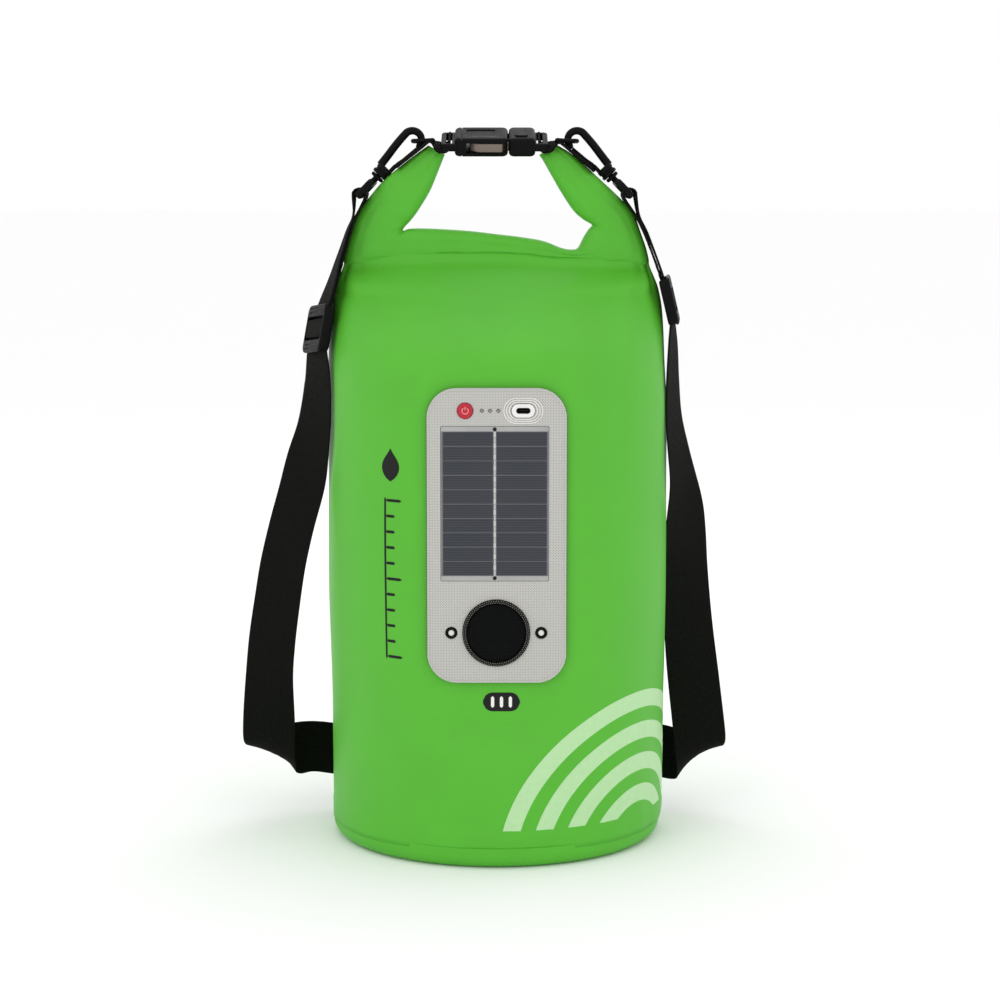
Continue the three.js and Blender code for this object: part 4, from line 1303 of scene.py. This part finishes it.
def make_plate():
    front, back = PLATE["front"], PLATE["back"]
    holes = [
        rounded_rect(WINDOW["width"] + 0.5, WINDOW["height"] + 0.5, 1, WINDOW["x"], WINDOW["z"]),
        rounded_rect(SOCKET["width"] + 0.5, SOCKET["height"] + 0.5, 4.8, SOCKET["x"], CONTROL_Z),
        circle(BUTTON["radius"] + 0.25, BUTTON["x"], CONTROL_Z, 40),
        circle(20, 0, SPEAKER["z"], 64),
        *[circle(4.05, sign * LAMP_X, SPEAKER["z"], 32) for sign in (-1, 1)],
        *[circle(1.3, indicator_x(i), CONTROL_Z, 20) for i in range(3)],
    ]
    outline = rounded_rect(
        MODULE["width"], MODULE["height"], MODULE["radius"], MODULE["x"], MODULE["z"], 18
    )
    plate = front_slab([outline, *holes], front, back, 0.35, 3)
    # Raised rings round the charging socket.
    rings = Shape()
    for grow, proud in [(3.8, 0.55), (7.4, 0.5), (11, 0.45)]:
        size = (SOCKET["width"] + grow, SOCKET["height"] + 0.75 * grow)
        ring = [
            rounded_rect(*size, size[1] / 2 - 0.1, SOCKET["x"], CONTROL_Z),
            rounded_rect(size[0] - 1.5, size[1] - 1.5, size[1] / 2 - 0.85, SOCKET["x"], CONTROL_Z),
        ]
        bead = front_slab(ring, front - proud, front + 0.3, 0.25, 3)
        rings.join(bead)
    rings.piece("socket_rings", PALE_RING, "root", "grey_plate", (), 50)
    # A low bead just inside the plate's edge.
    inset = 2.6
    size, radius = (MODULE["width"] - inset, MODULE["height"] - inset), MODULE["radius"] - inset / 2
    edge = [
        rounded_rect(*size, radius, MODULE["x"], MODULE["z"], 18),
        rounded_rect(size[0] - 1.4, size[1] - 1.4, radius - 0.7, MODULE["x"], MODULE["z"], 18),
    ]
    bead = front_slab(edge, front - 0.18, front + 0.3, 0.17, 3)
    plate.join(bead)
    plate.piece("face_plate", PLATE_FILM, "root", "grey_plate", ["module_faceplate"], 30)


def indicator_x(i):
    return -9.6 + 5.5 * i


def make_solar_panel():
    x, z, width, height = WINDOW.values()
    top = PLATE["front"]
    backing = front_slab([rounded_rect(width, height, 0.8, x, z)], top + 0.35, top + 1.1, 0.1, 2)
    backing.piece("solar_laminate", CELL_BACK, "root", "solar_cell", ["solar_panel"])
    strip = 3.6
    field = height - 2 * strip
    outline = rounded_rect(width - 0.6, field + 0.6, 0.5, x, z)
    dark = front_slab([outline], top + 0.22, top + 0.4, 0.05, 1)
    dark.piece("solar_field", CELL_EDGE, "root", "solar_cell")
    rows, gap, bus = 10, 0.45, 1.5
    cell_height = field / rows - gap
    cells = Shape()
    left_half = (x - width / 2 + 1.4, x - bus / 2 - 0.5)
    right_half = (x + bus / 2 + 0.5, x + width / 2 - 1.2)
    for low, high in (left_half, right_half):
        for row in range(rows):
            middle = z - field / 2 + (row + 0.5) * field / rows
            outline = rounded_rect(high - low, cell_height, 0.3, (low + high) / 2, middle, 2)
            cell = front_slab([outline], top + 0.08, top + 0.26, 0.05, 1)
            cells.join(cell)
    cells.piece("solar_cells", CELL, "root", "solar_cell")

    ribbon = Shape()
    lines = 26
    for k in range(lines):
        middle = z + (k + 0.5 - lines / 2) * (height - 7) / lines
        wide = bus if k % 2 else bus * 0.72
        pad = front_slab(
            [rounded_rect(wide, (height - 7) / lines + 0.4, wide * 0.3, x, middle, 3)],
            top + 0.02, top + 0.3, 0.06, 2,
        )
        ribbon.join(pad)
    ribbon.piece("solar_busbar", SILVER, "root", "solar_cell")
    ends = Shape()
    for sign in (-1, 1):
        dot = front_lathe(
            [(0.01, top - 0.1), (0.9, top - 0.05), (1.3, top + 0.15), (1.3, top + 0.5), (0.01, top + 0.5)],
            x, z + sign * (height / 2 - 1.9), 24,
        )
        ends.join(dot)
    ends.piece("solar_contacts", SEAL, "root", "solar_cell")


def make_controls():
    front, back = PLATE["front"], PLATE["back"]
    r, x = BUTTON["radius"], BUTTON["x"]
    cap = front_lathe(
        [
            (0.01, front - 0.35), (2.6, front - 0.35), (3.6, front - 0.45), (4.1, front - 0.8),
            (4.7, front - 0.9), (r - 0.1, front - 0.7), (r, front - 0.4), (r, back + 0.5),
            (r + 1.2, back + 0.5), (r + 1.2, back + 1.1), (0.01, back + 1.1),
        ],
        x, CONTROL_Z, 48,
    )
    cap.piece("button_cap", RED, "power_button", "red_button", ["power_button"], 50)
    turns = steps_between(math.radians(125), math.radians(415), 20)
    face = front - 0.42
    arc = [(x + 2.1 * math.cos(turn), face, CONTROL_Z + 2.1 * math.sin(turn)) for turn in turns]
    symbol = tube(arc, 0.3, 40, 8)
    stroke = tube([(x, face, CONTROL_Z + rise) for rise in (0.6, 1.7, 2.7)], 0.3, 4, 8)
    symbol.join(stroke)
    symbol.piece("button_symbol", PALE_RED, "power_button", "red_button")

    for i in range(3):
        lens = front_lathe(
            [
                (0.01, front - 0.3), (0.7, front - 0.25), (1.1, front),
                (1.1, FITTINGS_BACK), (0.01, FITTINGS_BACK),
            ],
            indicator_x(i), CONTROL_Z, 20,
        )
        lens.piece(f"indicator_lens_{i + 1}", DOT, "root", "clear_lens", [f"indicator_{i + 1}"], 60)

    sx = SOCKET["x"]
    bezel = front_slab(
        [
            rounded_rect(SOCKET["width"], SOCKET["height"], 4.55, sx, CONTROL_Z, 12),
            rounded_rect(9.5, 3.8, 1.85, sx, CONTROL_Z, 8),
        ],
        front - 0.9, back, 0.6, 4,
    )
    bezel.piece("socket_surround", WHITE, "root", "white_plastic", ["socket_bezel"], 50)
    shell = front_slab(
        [rounded_rect(8.9, 3.2, 1.55, sx, CONTROL_Z), rounded_rect(8.2, 2.5, 1.2, sx, CONTROL_Z)],
        front - 0.3, FITTINGS_BACK, 0.1, 2,
    )
    floor = front_slab([rounded_rect(8.6, 2.9, 1.4, sx, CONTROL_Z)], -106, -105.2, 0.05, 1)
    tongue = front_slab([rounded_rect(6.4, 0.7, 0.3, sx, CONTROL_Z)], front + 0.9, -105.4, 0.1, 2)
    shell.join(floor, tongue)
    shell.piece("charging_socket", SEAL, "root", "steel", ["usb_socket"], 40)


def make_speaker_and_lamps():
    z, front = SPEAKER["z"], PLATE["front"]
    outer, inner = SPEAKER["radius"], SPEAKER["inner"]
    rows = []
    for turn in steps_between(0, math.pi, 10):
        radius = (outer + inner) / 2 + (outer - inner) / 2 * math.cos(turn)
        rows.append((radius, front - 0.6 - 1.2 * math.sin(turn)))
    rows += [(inner, front + 0.1), (outer, front + 0.1)]
    ring = front_lathe(rows, 0, z, 96, closed=True)
    ring.piece("speaker_rim", BLACK, "root", "black_plastic", ["speaker_ring"], 50)
    # The knurl beads are painted lighter than the black rim: painted highlights, not a colour of their
    # own.
    knurls = Shape()
    count = 84
    for k in range(count):
        for radius, stagger in ((21.9, 0), (20.7, 0.5)):
            turn = 2 * math.pi * k / count + stagger * 2 * math.pi / count
            bead = lathe([(0.01, 0), (0.42, 0), (0.42, 0.25), (0.28, 0.5), (0.01, 0.58)], 8)
            spot = (radius * math.cos(turn), front - 1.45, z + radius * math.sin(turn))
            bead.place(Matrix.Translation(spot) @ TO_FRONT)
            knurls.join(bead)
    knurls.piece("speaker_rim_beads", RIM_GLINT_GREY, "root", "black_plastic", sharp=60)
    dome = [(0.01, front - 1.7)]
    for radius in (4, 8, 12, 15, 17.5, 19):
        dome.append((radius, front - 1.7 + 0.9 * (radius / 19.3) ** 2.4))
    dome += [(19.5, front - 0.5), (19.5, front), (0.01, front)]
    front_lathe(dome, 0, z, 72).piece(
        "speaker_cloth", NET, "root", "speaker_cloth", ["speaker_grille"], 50
    )
    for side, sign in SIDES.items():
        x = sign * LAMP_X
        bezel = front_lathe(
            [
                (2.35, front - 0.2), (2.8, front - 0.8), (3.5, front - 0.75), (3.8, front - 0.35),
                (3.8, PLATE["back"]), (2.35, PLATE["back"]),
            ],
            x, z, 40, closed=True,
        )
        bezel.piece(f"lamp_surround_{side}", BLACK, "root", "black_plastic", [f"lamp_bezel_{side}"], 50)
        lens = front_lathe(
            [
                (0.01, front - 1.0), (0.8, front - 0.9), (1.6, front - 0.5), (2.1, front),
                (2.1, LENS_BACK), (0.01, LENS_BACK),
            ],
            x, z, 32,
        )
        lens.piece(f"lamp_{side}", LENS, "root", "clear_lens", [f"lamp_lens_{side}"], 60)


INNER_FINISHES = {
    "circuit_board": BOARD,
    "battery_pack": WRAP,
    "button_switch": BLACK,
    "module_tray": GREY,
    "module_clamp_frame": GREY,
    "module_gasket": SEAL,
    "speaker_driver": BLACK,
    "base_weld_band": GREEN,
}


def dress_inner_parts():
    """CAD parts that stay as they are, with eased edges and a finish each."""
    leads = {name: LEAD for name in frame["nodes"] if "_lead_" in name}
    screws = {name: STEEL for name in frame["nodes"] if name.startswith("clamp_screw")}
    for name, finish in {**INNER_FINISHES, **leads, **screws}.items():
        node = frame["nodes"][name]
        node.data.materials.clear()
        node.data.materials.append(finish)
        if name not in leads:
            ease_edges(node, 0.2)


# ---------------------------------------------------------------- prints on the bag
# The bag's radius where it is printed, and how thick the ink's film is drawn.
WALL_RADIUS, INK_FILM = 118.5, 0.12


def print_strokes(name, strokes, finish, lift=0.16):
    """Ink along paths on the cloth. Each stroke is (points of across and height, width, taper)."""
    shape = Shape()
    across_count = 6
    for points, width, taper in strokes:
        length = sum(math.dist(a, b) for a, b in zip(points, points[1:]))
        count = max(8, int(length / 1.6))
        path = spline([(*point, 0) for point in points], count)
        along = unit(np.gradient(path, axis=0))
        rings = []
        for i, (place, way) in enumerate(zip(path, along)):
            share = i / count
            end = min(share, 1 - share) * length / (width / 2)
            rounded = math.sqrt(max(0.02, 1 - (1 - min(1, end)) ** 2))
            size = width / 2 * (taper(share) if taper else rounded)
            row = []
            for step in steps_between(-1, 1, across_count):
                u, z = place[0] - way[1] * step * size, place[1] + way[0] * step * size
                row.append((math.degrees(u / WALL_RADIUS), z))
            top = [bag_point(turn, z, lift) for turn, z in row]
            rings.append(top + [bag_point(turn, z, lift - INK_FILM) for turn, z in row[::-1]])
        shape.add(np.concatenate(rings), loft_faces(len(rings), 2 * across_count + 2))
    return shape.piece(name, finish, "root", None, sharp=60)


def arc_points(x, z, radius, start, end, count=12):
    turns = steps_between(math.radians(start), math.radians(end), count)
    return [(x + radius * math.cos(turn), z + radius * math.sin(turn)) for turn in turns]


def make_prints():
    # Pale ripples low on the right, running round the side.
    centre, low = (118, -5), 17
    ripples = []
    for radius in (46, 68, 90, 112):
        reach = math.degrees(math.asin((low - centre[1]) / radius))
        ripples.append((arc_points(*centre, radius, reach, 180 - reach, 20), 12, None))
    print_strokes("ripple_print", ripples, PALE_INK)

    # A level gauge up the left: a rule with ticks, and a plain drop above it.
    gauge = [([(-80.5, 141), (-80.5, 200), (-80.5, 252)], 1.5, None)]
    for k in range(11):
        z, long = 143 + 10.7 * k, 13 if k % 5 == 0 else 7.5
        gauge.append(([(-79.8, z), (-79.8 + long / 2, z), (-79.8 + long, z)], 1.9, None))
    drop = lambda share: 0.05 + 0.95 * math.sin(math.pi * share ** 1.6) ** 0.8
    gauge.append(([(-76, 285), (-76, 276), (-76, 263)], 15, drop))
    print_strokes("level_gauge_print", gauge, BLACK_INK)

    pill = [([(-9, 114.3), (3.5, 114.3), (16, 114.3)], 13, None)]
    print_strokes("capacity_pill", pill, BLACK_INK)
    bars = [([(x, 110.4), (x, 114.3), (x, 118.2)], 2.2, None) for x in (-2.5, 3.5, 9.5)]
    print_strokes("capacity_bars", bars, WHITE_INK, lift=0.3)


# ---------------------------------------------------------------- studio
def make_studio():
    mesh = bpy.data.meshes.new("studio_floor")
    size = 30.0
    corners = [(-size, -size, 0), (size, -size, 0), (size, size, 0), (-size, size, 0)]
    mesh.from_pydata(corners, [], [(0, 1, 2, 3)])
    floor = bpy.data.objects.new("studio_floor", mesh)
    scene.collection.objects.link(floor)
    paper = Finish("studio_paper", (0.985, 0.985, 0.985), 0.95)
    mesh.materials.append(paper.material)

    world = bpy.data.worlds.new("studio")
    world.use_nodes = True
    world.node_tree.nodes["Background"].inputs["Color"].default_value = (1, 1, 1, 1)
    world.node_tree.nodes["Background"].inputs["Strength"].default_value = 1.0
    scene.world = world
    scene.view_settings.view_transform = "Standard"
    for name, place, size, power in [
        ("key", (-1.1, -1.9, 1.5), 1.4, 5),
        ("fill", (1.5, -1.7, 0.9), 1.6, 2.5),
        ("top", (0.1, 0.5, 2.0), 1.4, 3),
        ("back", (0.4, 2.0, 1.2), 1.2, 3),
    ]:
        lamp = bpy.data.lights.new(name, "AREA")
        lamp.energy, lamp.size = power, size
        holder = bpy.data.objects.new(name, lamp)
        holder.location = place
        aim = Vector((0, 0, 0.25)) - Vector(place)
        holder.rotation_euler = aim.to_track_quat("-Z", "Y").to_euler()
        scene.collection.objects.link(holder)


def make_camera():
    camera = bpy.data.cameras.new("camera")
    camera.lens, camera.sensor_width = 91.8, 36
    holder = bpy.data.objects.new("camera", camera)
    holder.location = (0.0025, -1.8, 0.47)
    aim = Vector((0.0025, 0, 0.238)) - holder.location
    holder.rotation_euler = aim.to_track_quat("-Z", "Y").to_euler()
    scene.collection.objects.link(holder)
    scene.camera = holder


make_camera()
make_bag()
make_roll()
make_straps()
make_sliders()
make_hooks()
make_buckle()
make_rim_webbing()
make_plate()
make_solar_panel()
make_controls()
make_speaker_and_lamps()
dress_inner_parts()
make_prints()
make_studio()
